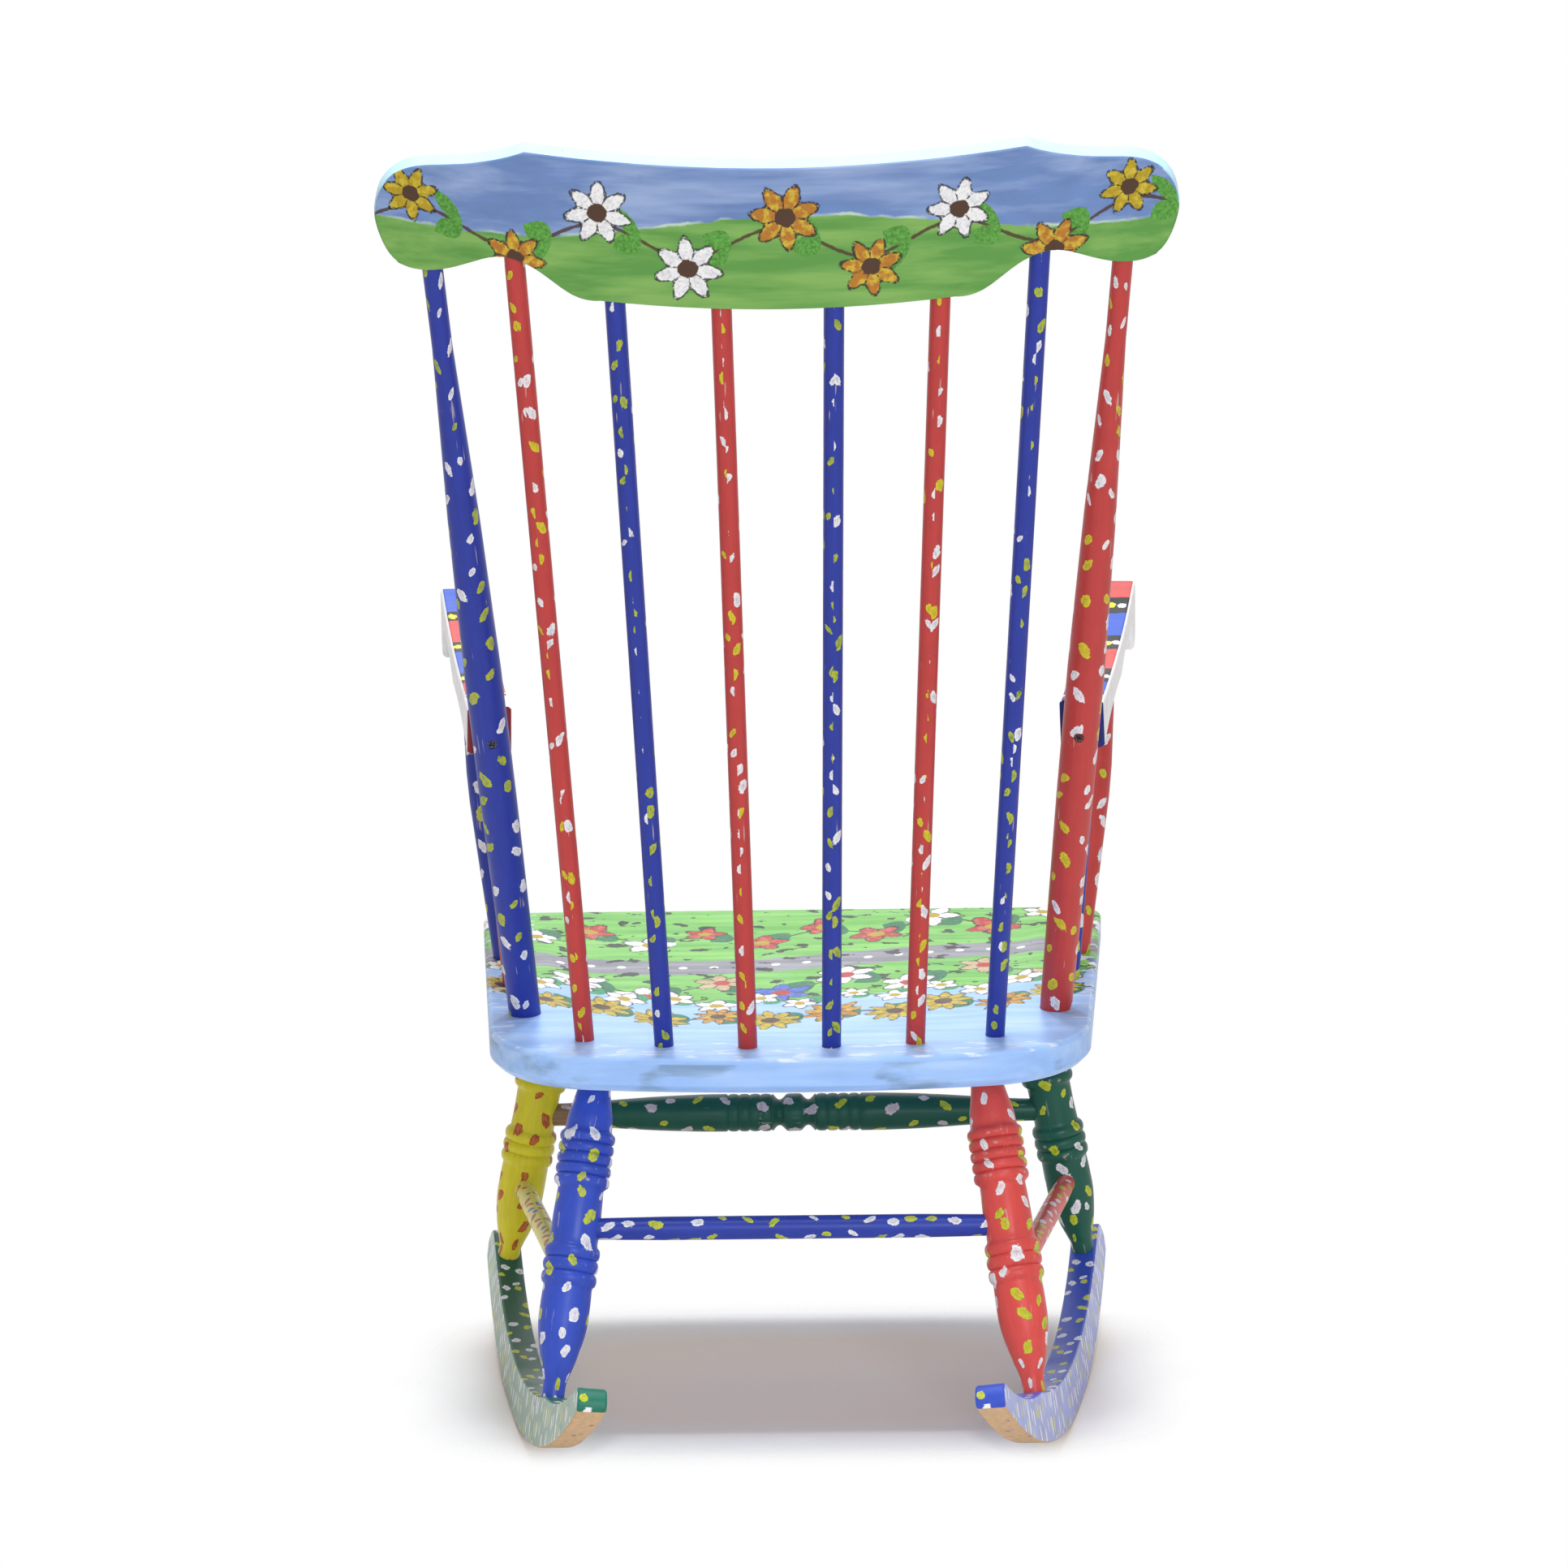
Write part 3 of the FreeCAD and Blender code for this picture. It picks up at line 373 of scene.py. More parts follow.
def paint_garland(colour, place, along, off, tints, leaf_tint, stem_tint, heart_tint, dapple, **sizes):
    """Lay a garland over a colour: stem, leaves, dappled flowers with dark lines, and hearts."""
    parts = use_group(vine, Place=place, Along=along, Off=off, **sizes)
    colour = blend(prod(parts["Stem"], 0.92), colour, stem_tint)
    pale_leaf = tuple(min(1, v * 1.9) for v in leaf_tint)
    leaf_colour = blend(ramp(parts["Shade"], 0.35, 0.65), leaf_tint, pale_leaf)
    colour = blend(parts["Leaf"], colour, leaf_colour)
    petal = pick_colour(parts["Chance"], *tints)
    light = prod(ramp(noise(place, 170, 4), 0.46, 0.62), 0.75)
    petal = blend(light, petal, pick_colour(parts["Chance"], *dapple))
    petal = blend(prod(ramp(parts["Shade"], 0.5, 0.7), 0.3), petal, STEM_BROWN)
    colour = blend(parts["Flower"], colour, petal)
    colour = blend(prod(parts["Line"], 0.9), colour, OUTLINE_BLACK)
    return blend(parts["Heart"], colour, heart_tint)


def copy_node(node_name, piece_name, rounding, sharper_than=35.0, wider_than=0.045):
    """A merged copy of a CAD node with its outer hard edges rounded over; it stands for that node.

    The edges of small holes, where sticks are let in, stay sharp.
    """
    piece = bpy.data.objects.new(piece_name, nodes[node_name].data.copy())
    scene.collection.objects.link(piece)
    bpy.ops.object.select_all(action="DESELECT")
    piece.select_set(True)
    bpy.context.view_layer.objects.active = piece
    piece.data.materials.clear()
    bpy.ops.object.mode_set(mode="EDIT")
    bpy.ops.mesh.select_mode(type="EDGE")
    bpy.ops.mesh.select_all(action="SELECT")
    bpy.ops.mesh.remove_doubles(threshold=0.00002)
    bpy.ops.mesh.customdata_custom_splitnormals_clear()
    bpy.ops.mesh.dissolve_limited(angle_limit=math.radians(0.4))
    bpy.ops.mesh.select_all(action="DESELECT")
    shell = bmesh.from_edit_mesh(piece.data)
    limit = math.radians(sharper_than)
    waiting = {e for e in shell.edges if len(e.link_faces) == 2 and e.calc_face_angle(0.0) > limit}
    while waiting:
        queue = [waiting.pop()]
        loop = []
        while queue:
            crease = queue.pop()
            loop.append(crease)
            for corner in crease.verts:
                for other in corner.link_edges:
                    if other in waiting:
                        waiting.discard(other)
                        queue.append(other)
        spots = [v.co for e in loop for v in e.verts]
        spread = max(max(s[n] for s in spots) - min(s[n] for s in spots) for n in range(3))
        if spread > wider_than:
            for crease in loop:
                crease.select = True
    shell.select_flush_mode()
    bmesh.update_edit_mesh(piece.data)
    bpy.ops.mesh.bevel(offset=rounding, offset_type="OFFSET", segments=3, affect="EDGES",
                       clamp_overlap=False)
    bpy.ops.object.mode_set(mode="OBJECT")
    bpy.ops.object.shade_smooth_by_angle(angle=math.radians(32), keep_sharp_edges=False)
    even = piece.modifiers.new("even_normals", "WEIGHTED_NORMAL")
    even.keep_sharp = True
    bpy.ops.object.modifier_apply(modifier=even.name)
    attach(piece, "root")
    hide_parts(node_name)
    return piece


seat_piece = copy_node("seat", "painted_seat", 0.001)
seat_finish, shader, here, where, brushed = painted_at(
    "seat_folk_paint", SEAT_FRONT, (SEAT_TILT, 0, 0), "YZX")
blue_coat = use_group(coat, Place=brushed, Colour=SEAT_BLUE, Unevenness=0.22, Fineness=150.0)
streaks = noise(brushed, 60, 4, (1, 1, 0.12))
drift = noise(here, 9, 3)
colour = blend(ramp(streaks, 0.42, 0.7), blue_coat["Colour"], SEAT_PALE)
meadow = blend(ramp(noise(brushed, 90, 5, (1, 1, 0.1)), 0.36, 0.66), MEADOW, MEADOW_LIGHT)
shore = prod(calc("SINE", prod(where["X"], 17.0)), 0.012)
shore = plus(less(where["Y"], shore), prod(drift, 0.03))
bend_in = prod(prod(where["X"], where["X"]), 1.3)
shore = plus(shore, bend_in)
wavy = calc("SINE", lift(where["X"], 11.0, 0.6))
ribbon_line = less(where["Y"], prod(wavy, 0.026))
ribbon_off = less(ribbon_line, RIBBON_AT)
ribbon_edge = plus(calc("ABSOLUTE", ribbon_off), prod(drift, 0.006))
ribbon_tone = blend(ramp(noise(brushed, 120, 4, (1, 1, 0.1)), 0.4, 0.68), RIBBON_GREY,
                    (0.33, 0.33, 0.38))
meadow = blend(ramp(ribbon_edge, RIBBON_HALF + 0.0005, RIBBON_HALF - 0.0005), meadow, ribbon_tone)
pearl_x = less(calc("FRACT", prod(where["X"], PEARLS_PER_METRE)), 0.5)
pearl = away(calc("DIVIDE", pearl_x, PEARLS_PER_METRE), ribbon_off)
meadow = blend(ramp(pearl, 0.0042, 0.0036), meadow, PETAL_WHITE)
tufts = prod(ramp(noise(here, 48, 3, (1, 1.3, 1)), 0.6, 0.61), 0.95)
meadow = blend(tufts, meadow, OUTLINE_BLACK)
meadow = paint_garland(meadow, here, where["X"], less(ribbon_line, 0.062),
                       (PETAL_WHITE, FLOWER_RED, PETAL_WHITE), LEAF_GREEN, OUTLINE_BLACK, OCHRE,
                       (CHALK, (0.62, 0.16, 0.14), CHALK), Pitch=0.05, Radius=0.0235, Petals=5.0,
                       Swing=0.01, Rise=0.008, Seed=3.0)
meadow = paint_garland(meadow, here, plus(where["X"], 0.021), less(ribbon_line, 0.222),
                       (PETAL_WHITE, FLOWER_BLUE, TAN), LEAF_GREEN, OUTLINE_BLACK, FLOWER_RED,
                       (CHALK, (0.12, 0.22, 0.62), (0.62, 0.5, 0.34)), Pitch=0.056, Radius=0.027,
                       Petals=6.0, Swing=0.012, Rise=0.008, Seed=11.0)
colour = blend(ramp(shore, SHORE_AT + 0.0005, SHORE_AT - 0.0005), colour, meadow)
colour = paint_garland(colour, here, plus(where["X"], 0.03), less(shore, SHORE_AT + 0.001),
                       (PETAL_WHITE, PETAL_WHITE, PETAL_WHITE), (0.03, 0.19, 0.08), STEM_BROWN, OCHRE,
                       (CHALK, CHALK, CHALK), Pitch=0.037, Radius=0.018, Petals=5.0, Swing=0.005,
                       Rise=0.005, Seed=17.0)
colour = paint_garland(colour, here, plus(where["X"], 0.012), less(shore, SHORE_AT + 0.05),
                       (OCHRE, ORANGE_BROWN, OCHRE), LEAF_GREEN, STEM_BROWN, STEM_BROWN,
                       (BRIGHT_OCHRE, BRIGHT_OCHRE, BRIGHT_OCHRE), Pitch=0.047, Radius=0.0255, Petals=9.0,
                       Swing=0.005, Rise=0.003, Seed=23.0)
rim_colour = blend(ramp(noise(here, 20, 5, (0.6, 0.6, 1.7)), 0.55, 0.63),
                   blue_coat["Colour"], (0.2, 0.32, 0.52))
rim_colour = blend(ramp(noise(brushed, 70, 4, (1, 1, 0.08)), 0.45, 0.75), rim_colour, SEAT_PALE)
colour = blend(ramp(where["Z"], -0.0052, -0.0042), rim_colour, colour)
near_rim = calc("MAXIMUM", less(calc("ABSOLUTE", where["X"]), 0.225), less(where["Y"], 0.415))
# A pale broken line along the top lip: partly rubbed paint, partly a painted highlight.
rubbed_lip_and_highlight = calc("ABSOLUTE", plus(where["Z"], 0.0012))
rubbed_lip_and_highlight = prod(ramp(rubbed_lip_and_highlight, 0.0018, 0.001), ramp(near_rim, 0.0, 0.002))
rubbed_lip_and_highlight = prod(rubbed_lip_and_highlight, ramp(noise(here, 120, 4, (0.35, 1, 1)), 0.56, 0.62))
colour = blend(rubbed_lip_and_highlight, colour, (0.62, 0.7, 0.84))
finish_paint(shader, colour, blue_coat["Roughness"], blue_coat["Height"])
seat_piece.data.materials.append(seat_finish)

# Legs
# Four legs turned from hardwood, each with five beads near the top and three lower down. Each has its own
# colour: yellow with red dabs, dark green, blue and red. The beads' crests are rubbed pale in places.

YELLOW_LEG = (0.64, 0.57, 0.024)
GREEN_LEG = (0.012, 0.09, 0.06)
BLUE_LEG = (0.034, 0.074, 0.46)
RED_LEG = (0.61, 0.07, 0.062)
ORANGE_DAB = (0.48, 0.075, 0.025)
WHITE_DAB = (0.8, 0.8, 0.83)
YELLOW_DAB = (0.52, 0.57, 0.028)
OLIVE_DAB = (0.13, 0.24, 0.022)
RUBBED = (0.56, 0.47, 0.4)
LEG_BEAD = 0.0227
BEAD_CUT = 0.0024

# Cells laid over a surface with one dab of a loaded brush in each, pushed off centre and slanted at random;
# the bristles leave streaks along the dab.
dabs, given, gives = new_group(
    "brush_dabs",
    {"Across": 0.0, "Along": 0.0, "Place": None, "Cell width": 0.02, "Cell length": 0.03,
     "Dab width": 0.008, "Dab length": 0.011, "Wander": 0.5, "Bare share": 0.1, "Yellow share": 0.45,
     "Slant": 1.1, "Seed": 0.0, "Solid": 0.0},
    ("White", "Yellow", "Relief", "Streak"))
columns = calc("DIVIDE", given["Across"], given["Cell width"])
column = calc("FLOOR", columns)
column_chance = dabs.nodes.new("ShaderNodeTexWhiteNoise")
column_chance.noise_dimensions = "1D"
dabs.links.new(plus(column, given["Seed"]), column_chance.inputs["W"])
rows = plus(calc("DIVIDE", given["Along"], given["Cell length"]), column_chance.outputs["Value"])
row = calc("FLOOR", rows)
chance = dabs.nodes.new("ShaderNodeTexWhiteNoise")
chance.noise_dimensions = "3D"
dabs.links.new(join(column, row, given["Seed"]), chance.inputs["Vector"])
parts = dabs.nodes.new("ShaderNodeSeparateColor")
dabs.links.new(chance.outputs["Color"], parts.inputs[0])
across = less(less(calc("FRACT", columns), 0.5), prod(less(parts.outputs[0], 0.5), given["Wander"]))
along = less(less(calc("FRACT", rows), 0.5), prod(less(parts.outputs[1], 0.5), given["Wander"]))
side = prod(across, given["Cell width"])
up = prod(along, given["Cell length"])
slant = prod(less(parts.outputs[2], 0.5), given["Slant"])
side = plus(side, prod(up, slant))
girth = lift(chance.outputs["Value"], 0.6, 0.7)
wobble = noise(given["Place"], 190, 3)
fray = noise(given["Place"], 620, 2)
reach_side = calc("DIVIDE", prod(side, 2), prod(given["Dab width"], girth))
reach_up = calc("DIVIDE", prod(up, 2), prod(given["Dab length"], girth))
far = plus(away(reach_side, reach_up), prod(less(wobble, 0.5), 1.15))
far = plus(far, prod(less(fray, 0.5), 0.55))
dab = ramp(far, 1.0, 0.88)
bristles = noise(join(side, up, parts.outputs[0]), 1500, 2, (1.0, 0.13, 0.3))
pick = calc("FRACT", prod(chance.outputs["Value"], 7.31))
dab = prod(dab, calc("GREATER_THAN", pick, given["Bare share"]))
thin = calc("MAXIMUM", ramp(bristles, 0.34, 0.52), ramp(far, 0.3, 0.75))
thin = calc("MAXIMUM", thin, given["Solid"])
dab = prod(dab, lift(thin, 0.62, 0.38))
choice = calc("FRACT", prod(chance.outputs["Value"], 13.7))
yellow = calc("LESS_THAN", choice, given["Yellow share"])
feed([gives[label] for label in ("Yellow", "White", "Relief", "Streak")],
     (prod(dab, yellow), prod(dab, less(1.0, yellow)), prod(dab, lift(bristles, 0.9, 0.4)),
      lift(bristles, 0.5, prod(wobble, 0.5))))


def along_stick(shader, foot, head):
    """Coordinates on a stick: its own frame, round it in turns, and along it in metres from its foot."""
    turn = (Vector(head) - Vector(foot)).to_track_quat("Z", "X").to_euler()
    here = seen_from(shader, foot, turn)
    parts = split(here)
    angle = calc("ARCTAN2", parts["Y"], parts["X"])
    return here, calc("DIVIDE", angle, 2 * math.pi), parts["Z"]


def dotted_stick(name, foot, head, ground, radius, columns, pitch, dab, seed, first=WHITE_DAB,
                 second=YELLOW_DAB, second_dark=OLIVE_DAB, second_share=0.5, bare=0.1, unevenness=0.3,
                 crest=0.0, bare_foot=0.0):
    """A stick's finish: a brushed coat with dabs of two colours, rubbed crests and, if any, a bare foot."""
    paint, shader = start_paint(name + "_paint")
    place, turns, along = along_stick(shader, foot, head)
    girth = 2 * math.pi * radius
    base = use_group(coat, Place=place, Colour=ground, Unevenness=unevenness)
    spots = use_group(dabs, Across=prod(turns, girth), Along=along, Place=place,
                      Cell_width=girth / columns, Cell_length=pitch, Dab_width=dab[0], Dab_length=dab[1],
                      Seed=seed, Yellow_share=second_share, Bare_share=bare, Wander=0.62)
    colour = base["Colour"]
    scratches = prod(ramp(noise(place, 420, 2, (1, 1, 0.05)), 0.66, 0.7),
                     ramp(noise(place, 40, 2), 0.56, 0.62))
    colour = blend(prod(scratches, 0.55), colour, RUBBED)
    if crest:
        axes = split(place)
        rub = prod(ramp(away(axes["X"], axes["Y"]), crest - 0.0005, crest - 0.0001),
                   ramp(noise(place, 150, 4), 0.6, 0.68))
        colour = blend(prod(rub, 0.55), colour, RUBBED)
    if bare_foot:
        torn = lift(noise(place, 160, 3), 0.02, along)
        grain = blend(noise(place, 300, 4, (1, 1, 0.06)), (0.15, 0.075, 0.035), (0.34, 0.21, 0.11))
        colour = blend(ramp(torn, bare_foot + 0.0106, bare_foot + 0.0094), colour, grain)
    chalk = blend(ramp(spots["Streak"], 0.5, 0.66), first, tuple(0.68 * v for v in first))
    colour = blend(spots["White"], colour, chalk)
    lime = blend(ramp(spots["Streak"], 0.52, 0.66), second, second_dark)
    colour = blend(spots["Yellow"], colour, lime)
    height = lift(base["Height"], 0.22, spots["Relief"])
    finish_paint(shader, colour, base["Roughness"], height, 0.0005)
    return paint


def bead_rows(start, end, count, crest, cut):
    """Rows of (share of the run, radius) for a group of round beads with sharp grooves between them."""
    rows = []
    step = (end - start) / count
    for n in range(count):
        for t in (0.0, 0.12, 0.3, 0.5, 0.7, 0.88):
            rows.append((start + step * (n + t), crest - cut + cut * math.sin(math.pi * t) ** 0.55))
    rows.append((end, crest - cut))
    return rows


def sweep_rows(rows, steps=5):
    """A soft curve through sparse rows: more rows between them, without new bulges."""
    soft = []
    last = len(rows) - 1
    for n in range(last):
        before, start, end, after = rows[max(n - 1, 0)], rows[n], rows[n + 1], rows[min(n + 2, last)]
        for k in range(steps):
            t = k / steps
            span = end[0] - start[0]
            slope_in = (end[1] - before[1]) / (end[0] - before[0]) * span
            slope_out = (after[1] - start[1]) / (after[0] - start[0]) * span
            radius = ((2 * t ** 3 - 3 * t ** 2 + 1) * start[1] + (t ** 3 - 2 * t ** 2 + t) * slope_in
                      + (-2 * t ** 3 + 3 * t ** 2) * end[1] + (t ** 3 - t ** 2) * slope_out)
            soft.append((start[0] + span * t, radius))
    return soft + [rows[-1]]


def turned_stick(piece_name, node_name, foot, head, rows, paint, sides=40):
    """A stick as a lathe leaves it: a ring drawn out along its axis and sized at every row."""
    run = (Vector(head) - Vector(foot)).length
    bpy.ops.object.select_all(action="DESELECT")
    bpy.ops.mesh.primitive_circle_add(vertices=sides, radius=rows[0][1], fill_type="NGON",
                                      location=(0, 0, 0))
    piece = bpy.context.object
    piece.name = piece_name
    bpy.ops.object.mode_set(mode="EDIT")
    bpy.ops.mesh.select_mode(type="FACE")
    bpy.ops.mesh.select_all(action="SELECT")
    for (share, radius), (next_share, next_radius) in zip(rows, rows[1:]):
        bpy.ops.mesh.extrude_region_move(
            TRANSFORM_OT_translate={"value": (0, 0, (next_share - share) * run)})
        scale = next_radius / radius
        bpy.ops.transform.resize(value=(scale, scale, 1), center_override=(0, 0, 0))
    bpy.ops.mesh.select_all(action="SELECT")
    bpy.ops.mesh.normals_make_consistent(inside=False)
    bpy.ops.object.mode_set(mode="OBJECT")
    piece.location = Vector(foot) + (Vector(head) - Vector(foot)) * rows[0][0]
    piece.rotation_mode = "QUATERNION"
    piece.rotation_quaternion = (Vector(head) - Vector(foot)).to_track_quat("Z", "X")
    bpy.ops.object.transform_apply(location=True, rotation=True, scale=True)
    bpy.ops.object.shade_smooth_by_angle(angle=math.radians(50))
    piece.data.materials.append(paint)
    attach(piece, "root")
    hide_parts(node_name)
    return piece


REAR_LEG = ([(-0.03, 0.0088)]
            + sweep_rows([(0.0, 0.0092), (0.045, 0.0096), (0.11, 0.0145), (0.2, 0.0196), (0.27, 0.0203),
                          (0.328, 0.0199)])
            + bead_rows(0.335, 0.455, 3, LEG_BEAD, BEAD_CUT)
            + sweep_rows([(0.462, 0.0196), (0.54, 0.0197), (0.628, 0.0186)])
            + bead_rows(0.635, 0.8, 5, LEG_BEAD, BEAD_CUT)
            + sweep_rows([(0.806, 0.0192), (0.85, 0.018), (0.92, 0.014), (0.96, 0.0131), (1.02, 0.013)]))
FRONT_LEG = ([(-0.03, 0.0088)]
             + sweep_rows([(0.0, 0.0092), (0.035, 0.01), (0.1, 0.0152), (0.19, 0.0196), (0.26, 0.0202),
                           (0.318, 0.0199)])
             + bead_rows(0.325, 0.44, 3, LEG_BEAD, BEAD_CUT)
             + sweep_rows([(0.446, 0.019), (0.51, 0.0186), (0.578, 0.0189)])
             + bead_rows(0.585, 0.77, 5, LEG_BEAD, BEAD_CUT)
             + sweep_rows([(0.776, 0.0192), (0.84, 0.0186), (0.93, 0.0156), (1.02, 0.013)]))
for seed, (stick, foot, head, rows, ground, slot_name, first, second, dark) in enumerate((
        ("left_front_leg", (0.2521, -0.2734, 0.0761), (0.2009, -0.2712, 0.3321), FRONT_LEG, YELLOW_LEG,
         "yellow_paint", ORANGE_DAB, ORANGE_DAB, (0.1, 0.09, 0.05)),
        ("right_front_leg", (-0.2521, -0.2734, 0.0761), (-0.2009, -0.2712, 0.3321), FRONT_LEG, GREEN_LEG,
         "dark_green_paint", WHITE_DAB, YELLOW_DAB, OLIVE_DAB),
        ("left_rear_leg", (0.1946, 0.1209, 0.0603), (0.1579, 0.0281, 0.3117), REAR_LEG, BLUE_LEG,
         "blue_paint", WHITE_DAB, YELLOW_DAB, OLIVE_DAB),
        ("right_rear_leg", (-0.1946, 0.1209, 0.0603), (-0.1579, 0.0281, 0.3117), REAR_LEG, RED_LEG,
         "red_paint", WHITE_DAB, YELLOW_DAB, OLIVE_DAB))):
    paint = dotted_stick(stick, foot, head, ground, 0.019, 5, 0.0185, (0.0078, 0.0108), 80 + seed * 6.1,
                         first, second, dark, bare=0.06, crest=LEG_BEAD)
    turned_stick("turned_" + stick, stick, foot, head, rows, paint)

# Stretchers
# A turned stretcher between the front legs, with fine beads beside two coves, and plain dowels between the
# others. They are let into the legs. The front one is bare and brown at one end.

PALE_YELLOW = (0.74, 0.66, 0.15)
BLUE_DAB = (0.05, 0.1, 0.45)
PINK_DAB = (0.66, 0.56, 0.6)
DOWEL_BLUE = (0.022, 0.044, 0.33)


def wear(node_name, paint):
    """Give a CAD node its finish in place of the plain one it was loaded with."""
    nodes[node_name].data.materials.clear()
    nodes[node_name].data.materials.append(paint)


half_run = (sweep_rows([(0.0, 0.0098), (0.06, 0.01), (0.14, 0.0122), (0.24, 0.015), (0.32, 0.0163),
                        (0.368, 0.0165)])
            + bead_rows(0.372, 0.456, 4, 0.0165, 0.0013)
            + [(0.459, 0.0162), (0.464, 0.0136), (0.468, 0.0118), (0.472, 0.0113), (0.476, 0.0118),
               (0.481, 0.0138), (0.485, 0.0158), (0.49, 0.0165)])
STRETCHER = half_run + [(1 - share, radius) for share, radius in reversed(half_run)]
stretcher_foot, stretcher_head = (0.224, -0.2723, 0.2016), (-0.224, -0.2723, 0.2016)
paint = dotted_stick("front_stretcher", stretcher_foot, stretcher_head, GREEN_LEG, 0.015, 4, 0.024,
                     (0.0075, 0.0105), 120, PINK_DAB, YELLOW_DAB, bare_foot=0.03)
turned_stick("turned_front_stretcher", "front_stretcher", stretcher_foot, stretcher_head, STRETCHER,
             paint)
for seed, (stick, foot, head, ground, radius, columns, pitch, dab, first, second, dark) in enumerate((
        ("rear_stretcher", (0.173, 0.0741, 0.1872), (-0.173, 0.0741, 0.1872), DOWEL_BLUE,
         0.0095, 4, 0.019, (0.0066, 0.0105), WHITE_DAB, YELLOW_DAB, OLIVE_DAB),
        ("left_side_stretcher", (0.239, -0.2699, 0.1389), (0.182, 0.085, 0.1494), PALE_YELLOW,
         0.0088, 5, 0.016, (0.0056, 0.011), (0.5, 0.06, 0.05), BLUE_DAB, (0.03, 0.05, 0.2)),
        ("right_side_stretcher", (-0.239, -0.2699, 0.1389), (-0.182, 0.085, 0.1494), RED_LEG,
         0.0088, 5, 0.017, (0.0054, 0.0115), WHITE_DAB, YELLOW_DAB, OLIVE_DAB))):
    wear(stick, dotted_stick(stick, foot, head, ground, radius, columns, pitch, dab, 130 + seed * 2.9,
                             first, second, dark))

# Rockers
# Two sawn hardwood planks on edge, let under the legs. The tops are dark green and blue with dabs, the
# faces sage and lavender with fine upright dashes, and the soles are worn to bare wood.

SAGE = (0.25, 0.365, 0.3)
LAVENDER = (0.285, 0.33, 0.63)
TEAL = (0.014, 0.15, 0.096)
BARE_WOOD = (0.56, 0.36, 0.19)
ROCKER_GREEN = (0.01, 0.09, 0.06)
TOE_IN = 8.6
SPLAY = 7.6
SOLE_CURVE = 0.672
TAIL_STARTS = 0.333
for side_name, sign, face_tint, top_tint, tail_tint, slot_name in (
        ("left", 1, SAGE, ROCKER_GREEN, TEAL, "sage_green_paint"),
        ("right", -1, LAVENDER, BLUE_LEG, BLUE_LEG, "lavender_paint")):
    rocker = copy_node(f"{side_name}_rocker", f"painted_{side_name}_rocker", 0.0022)
    base_of = (sign * 0.228, -0.04645, 0.0)
    turn = (Matrix.Rotation(math.radians(90 + sign * TOE_IN), 3, "Z")
            @ Matrix.Rotation(math.radians(-sign * SPLAY), 3, "X"))
    turned = turn.to_euler()
    face_paint, shader, here, where, lengthwise = painted_at(
        f"{side_name}_rocker_face_paint", base_of, turned)
    base = use_group(coat, Place=lengthwise, Colour=face_tint, Unevenness=0.3)
    faded = blend(ramp(noise(here, 24, 4), 0.42, 0.66), base["Colour"],
                  tuple(min(1, v * 1.2) for v in face_tint))
    above = less(where["Z"], prod(prod(where["X"], where["X"]), SOLE_CURVE))
    dash = use_group(dabs, Across=where["X"], Along=above, Place=here, Cell_width=0.013,
                     Cell_length=0.02, Dab_width=0.005, Dab_length=0.0145, Wander=0.5, Bare_share=0.05,
                     Yellow_share=0.35, Slant=0.35, Seed=5.0, Solid=1.0)
    colour = blend(dash["White"], faded, WHITE_DAB)
    colour = blend(dash["Yellow"], colour, (0.62, 0.64, 0.16))
    finish_paint(shader, colour, base["Roughness"], lift(base["Height"], 0.3, dash["Relief"]), 0.0004)

    top_paint, shader, here, where, lengthwise = painted_at(
        f"{side_name}_rocker_top_paint", base_of, turned)
    tint = blend(ramp(where["X"], TAIL_STARTS, TAIL_STARTS + 0.008), top_tint, tail_tint)
    base = use_group(coat, Place=lengthwise, Colour=tint, Unevenness=0.3)
    spots = use_group(dabs, Across=where["Y"], Along=less(where["X"], where["Z"]), Place=here,
                      Cell_width=0.0125, Cell_length=0.025, Dab_width=0.0074, Dab_length=0.0105,
                      Wander=0.75, Bare_share=0.1, Yellow_share=0.5, Slant=0.7, Seed=9.0)
    colour = blend(spots["White"], base["Colour"], WHITE_DAB)
    colour = blend(spots["Yellow"], colour, YELLOW_DAB)
    finish_paint(shader, colour, base["Roughness"], lift(base["Height"], 0.3, spots["Relief"]), 0.0004)

    sole_finish, shader, here, where, lengthwise = painted_at(
        f"{side_name}_rocker_sole_finish", base_of, turned)
    grain = noise(lengthwise, 220, 5, (1, 1, 0.05))
    wood = blend(ramp(grain, 0.35, 0.7), BARE_WOOD, (0.47, 0.31, 0.17))
    left_over = ramp(noise(here, 60, 4), 0.64, 0.67)
    colour = blend(prod(left_over, 0.8), wood, tail_tint)
    finish_paint(shader, colour, lift(grain, 0.3, 0.5), grain)
    for paint in (face_paint, top_paint, sole_finish):
        rocker.data.materials.append(paint)
    upright = turn.inverted()
    for face in rocker.data.polygons:
        lean = upright @ face.normal
        if abs(lean.y) > 0.75:
            face.material_index = 0
        elif lean.z > 0.05 or abs(lean.x) > 0.7:
            face.material_index = 1
        else:
            face.material_index = 2

# Spindles and posts of the back
# Eight turned hardwood sticks, glued into the seat and the crest rail, red and blue by turns, and dotted
# all round with short dabs of white and of yellow-green.

STICK_BLUE = (0.02, 0.038, 0.3)
STICK_RED = (0.455, 0.046, 0.042)
DABS_ON_BLUE = {"second": (0.42, 0.48, 0.025), "second_dark": (0.07, 0.18, 0.03), "second_share": 0.66}
DABS_ON_RED = {"second": (0.62, 0.54, 0.02), "second_dark": (0.4, 0.31, 0.02), "second_share": 0.45}
THIN_DAB = (0.0062, 0.01)


def on_side(point, sign):
    """A point of a left piece, mirrored for the right one where the sign is -1."""
    return sign * point[0], point[1], point[2]


